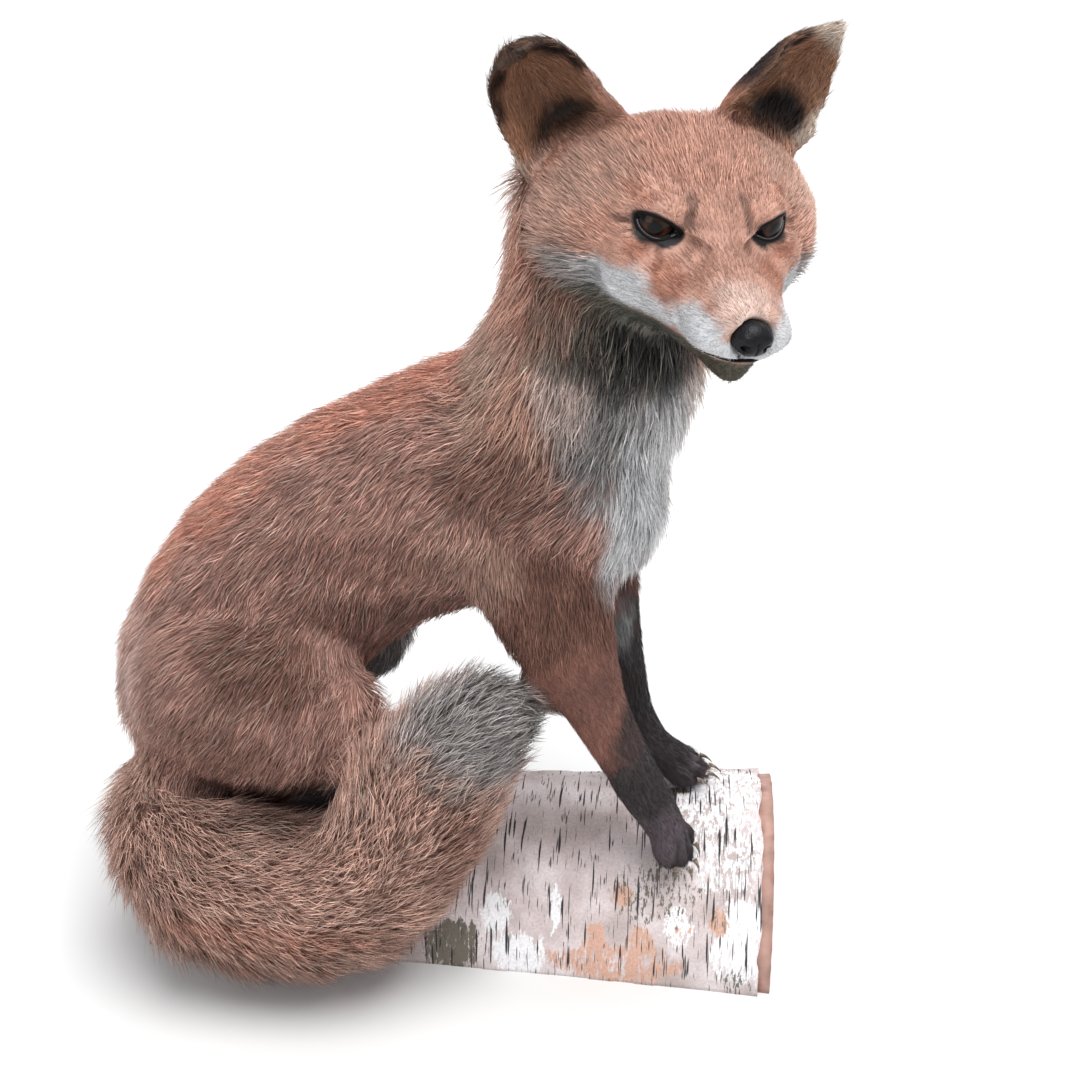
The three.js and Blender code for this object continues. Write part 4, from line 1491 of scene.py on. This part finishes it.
def bark_shell():
    bm = bmesh.new()
    bmesh.ops.create_grid(bm, x_segments=150, y_segments=100, size=1)
    flat = np.array([v.co[:] for v in bm.verts])
    angle = (1 - flat[:, 1]) / 2 * math.pi
    share = (flat[:, 0] + 1) / 2
    probe = np.stack([np.zeros(len(angle)), np.cos(angle), np.sin(angle)], axis=1) * LOG_RADIUS
    rear = -LOG_LENGTH / 2 + 1.2 * MM * noise(probe, 0.012, 21)
    front = LOG_LENGTH / 2 - WOOD_PROUD + (1.6 * noise(probe, 0.018, 22) + 0.9 * noise(probe, 0.005, 23)) * MM
    x = rear + (front - rear) * share
    radius = log_radius(x)
    round_log = np.stack([x, np.cos(angle) * radius, np.sin(angle) * radius], axis=1)
    radius = radius + bark_relief(round_log)
    for vertex, along, turn, out in zip(bm.verts, x, angle, radius):
        vertex.co = (along, math.cos(turn) * out, max(math.sin(turn) * out, 0))
    bmesh.ops.recalc_face_normals(bm, faces=bm.faces)
    if sum(f.normal.dot(f.calc_center_median()) for f in bm.faces) < 0:
        bmesh.ops.reverse_faces(bm, faces=bm.faces)
    bmesh.ops.solidify(bm, geom=bm.faces[:], thickness=BARK_THICKNESS - 0.6 * MM)
    for vertex in bm.verts:
        vertex.co.z = max(vertex.co.z, 0)
    bmesh.ops.recalc_face_normals(bm, faces=bm.faces)
    mesh = finished_mesh(bm, "birch_bark")
    set_colours(mesh, "zones", bark_zones(places(mesh)))
    add_bark_map(mesh)
    return mesh


def streaks_of(tree, across, along, low, high):
    """A mask of thin marks that run round the log."""
    place = add(tree, "ShaderNodeUVMap", uv_map="bark")
    mapping = add(tree, "ShaderNodeMapping")
    mapping.inputs["Scale"].default_value = (across, along, 1)
    texture = add(tree, "ShaderNodeTexNoise")
    texture.inputs["Scale"].default_value = 1
    texture.inputs["Detail"].default_value = 1.5
    wire(tree, place.outputs["UV"], mapping.inputs["Vector"])
    wire(tree, mapping.outputs["Vector"], texture.inputs["Vector"])
    shades = ramp(tree, [(low, (0, 0, 0)), (high, (1, 1, 1))])
    wire(tree, texture.outputs["Fac"], shades.inputs["Fac"])
    return shades.outputs["Color"]


def bark_material():
    made, tree, shader = material("birch bark", Roughness=0.72, Specular_IOR_Level=0.3)
    zones = add(tree, "ShaderNodeAttribute", attribute_name="zones")
    apart = add(tree, "ShaderNodeSeparateColor")
    wire(tree, zones.outputs["Color"], apart.inputs["Color"])
    clouds = textured(tree, "ShaderNodeTexNoise", 34, Detail=5.0)
    base = ramp(tree, [(0.34, (0.48, 0.40, 0.38)), (0.5, (0.62, 0.53, 0.52)), (0.68, (0.76, 0.68, 0.68))])
    wire(tree, clouds.outputs["Fac"], base.inputs["Fac"])
    colour = base.outputs["Color"]
    ragged = textured(tree, "ShaderNodeTexNoise", 210, (2.2, 1, 0.5), Detail=8.0, Roughness=0.7)
    spread = add(tree, "ShaderNodeMapRange")
    spread.inputs["From Min"].default_value = 0.38
    spread.inputs["From Max"].default_value = 0.62
    wire(tree, ragged.outputs["Fac"], spread.inputs["Value"])
    for channel, shade in (("Red", (0.86, 0.85, 0.86)), ("Green", (0.62, 0.38, 0.29)), ("Blue", (0.17, 0.15, 0.12))):
        edge = add(tree, "ShaderNodeMath", operation="ADD")
        wire(tree, apart.outputs[channel], edge.inputs[0])
        wire(tree, spread.outputs["Result"], edge.inputs[1])
        mask = add(tree, "ShaderNodeMapRange")
        mask.inputs["From Min"].default_value = 1.0
        mask.inputs["From Max"].default_value = 1.16
        wire(tree, edge.outputs["Value"], mask.inputs["Value"])
        colour = mixed(tree, mask.outputs["Result"], colour, shade)
    long_marks = streaks_of(tree, 520, 30, 0.625, 0.66)
    short_marks = streaks_of(tree, 800, 70, 0.64, 0.69)
    colour = mixed(tree, long_marks, colour, (0.035, 0.032, 0.036))
    colour = mixed(tree, short_marks, colour, (0.10, 0.085, 0.085))
    grain = textured(tree, "ShaderNodeTexNoise", 700, Detail=4.0)
    shades = ramp(tree, [(0.3, (0.86, 0.86, 0.86)), (0.7, (1.1, 1.1, 1.1))])
    wire(tree, grain.outputs["Fac"], shades.inputs["Fac"])
    colour = mixed(tree, 1.0, colour, shades.outputs["Color"], "MULTIPLY")
    wire(tree, colour, shader.inputs["Base Color"])
    height = mixed(tree, 0.6, ragged.outputs["Fac"], long_marks, "SUBTRACT")
    bumped(tree, shader, height, 0.6, 0.6 * MM)
    return made


def wood_core():
    bm = bmesh.new()
    bmesh.ops.create_grid(bm, x_segments=60, y_segments=14, size=1)
    for vertex in bm.verts:
        x = vertex.co.x * LOG_LENGTH / 2
        share = (vertex.co.y + 1) / 2
        vertex.co = (x, share * (float(log_radius(x)) - BARK_THICKNESS - 0.3 * MM), 0)
    bmesh.ops.spin(
        bm, geom=bm.faces[:] + bm.edges[:] + bm.verts[:], cent=(0, 0, 0), axis=(1, 0, 0),
        angle=math.pi, steps=72, use_duplicate=False, use_normal_flip=False, use_merge=False,
    )
    bmesh.ops.remove_doubles(bm, verts=bm.verts, dist=1e-5)
    bmesh.ops.recalc_face_normals(bm, faces=bm.faces)
    mesh = finished_mesh(bm, "birch_wood")
    point = places(mesh)
    end = np.abs(point[:, 0]) > LOG_LENGTH / 2 - 0.5 * MM
    point[end, 0] -= np.abs(0.5 * MM * noise(point[end], 0.004, 31)) * np.sign(point[end, 0])
    set_places(mesh, point)
    return mesh


def wood_material():
    made, tree, shader = material("birch wood", Roughness=0.66, Specular_IOR_Level=0.3)
    rings = textured(
        tree, "ShaderNodeTexWave", 110, Distortion=2.2, Detail=3.0, Detail_Scale=0.6,
    )
    rings.wave_type = "RINGS"
    rings.rings_direction = "X"
    shades = ramp(tree, [(0.1, (0.20, 0.09, 0.07)), (0.6, (0.30, 0.16, 0.13)), (0.95, (0.42, 0.27, 0.23))])
    wire(tree, rings.outputs["Fac"], shades.inputs["Fac"])
    patches = textured(tree, "ShaderNodeTexNoise", 90, Detail=5.0)
    tones = ramp(tree, [(0.3, (0.7, 0.66, 0.64)), (0.7, (1.2, 1.12, 1.08))])
    wire(tree, patches.outputs["Fac"], tones.inputs["Fac"])
    colour = mixed(tree, 1.0, shades.outputs["Color"], tones.outputs["Color"], "MULTIPLY")
    wire(tree, colour, shader.inputs["Base Color"])
    bumped(tree, shader, patches.outputs["Fac"], 0.5, 0.6 * MM)
    return made


put(new_object("birch_bark", bark_shell()), bark_material(), ("log_bark",))
put(new_object("birch_wood", wood_core()), wood_material(), ("log_wood",))

# ---- floor, light and camera ---------------------------------------------------------------------


def floor():
    bm = bmesh.new()
    bmesh.ops.create_grid(bm, x_segments=1, y_segments=1, size=20)
    thing = new_object("floor", finished_mesh(bm, "floor"))
    made, tree, shader = material("pale floor", Roughness=0.9)
    grain = textured(tree, "ShaderNodeTexNoise", 3)
    shades = ramp(tree, [(0.3, (0.7, 0.7, 0.69)), (0.7, (0.72, 0.72, 0.71))])
    wire(tree, grain.outputs["Fac"], shades.inputs["Fac"])
    wire(tree, shades.outputs["Color"], shader.inputs["Base Color"])
    thing.data.materials.append(made)


def lamp(name, kind_name, place, power, spread):
    """A lamp that shines from place to the middle of the model."""
    data = bpy.data.lights.new(name, kind_name)
    data.energy = power
    if kind_name == "SUN":
        data.angle = math.radians(spread)
    else:
        data.size = spread
    thing = bpy.data.objects.new(name, data)
    bpy.context.scene.collection.objects.link(thing)
    thing.location = place
    way = Vector((0, -0.05, 0.25)) - Vector(place)
    thing.rotation_euler = way.to_track_quat("-Z", "Y").to_euler()


def studio():
    lamp("key", "SUN", (0.45, -0.55, 2.2), 3.1, 40)
    lamp("fill", "AREA", (-1.3, -1.5, 0.9), 7, 1.3)
    lamp("back", "AREA", (0.6, 1.5, 1.3), 12, 1.2)
    world = bpy.data.worlds.new("studio")
    world.use_nodes = True
    world.node_tree.nodes["Background"].inputs["Color"].default_value = (0.93, 0.95, 1.0, 1)
    world.node_tree.nodes["Background"].inputs["Strength"].default_value = 0.6
    bpy.context.scene.world = world


def camera():
    data = bpy.data.cameras.new("camera")
    data.lens = 56.67
    data.sensor_width = 36
    data.clip_start = 0.05
    thing = bpy.data.objects.new("camera", data)
    bpy.context.scene.collection.objects.link(thing)
    thing.location = (0.1206, -0.8605, 0.68)
    thing.rotation_euler = (math.radians(90 - 26.5), 0, math.radians(5))
    bpy.context.scene.camera = thing


floor()
studio()
camera()
bpy.context.scene.view_settings.view_transform = "Standard"
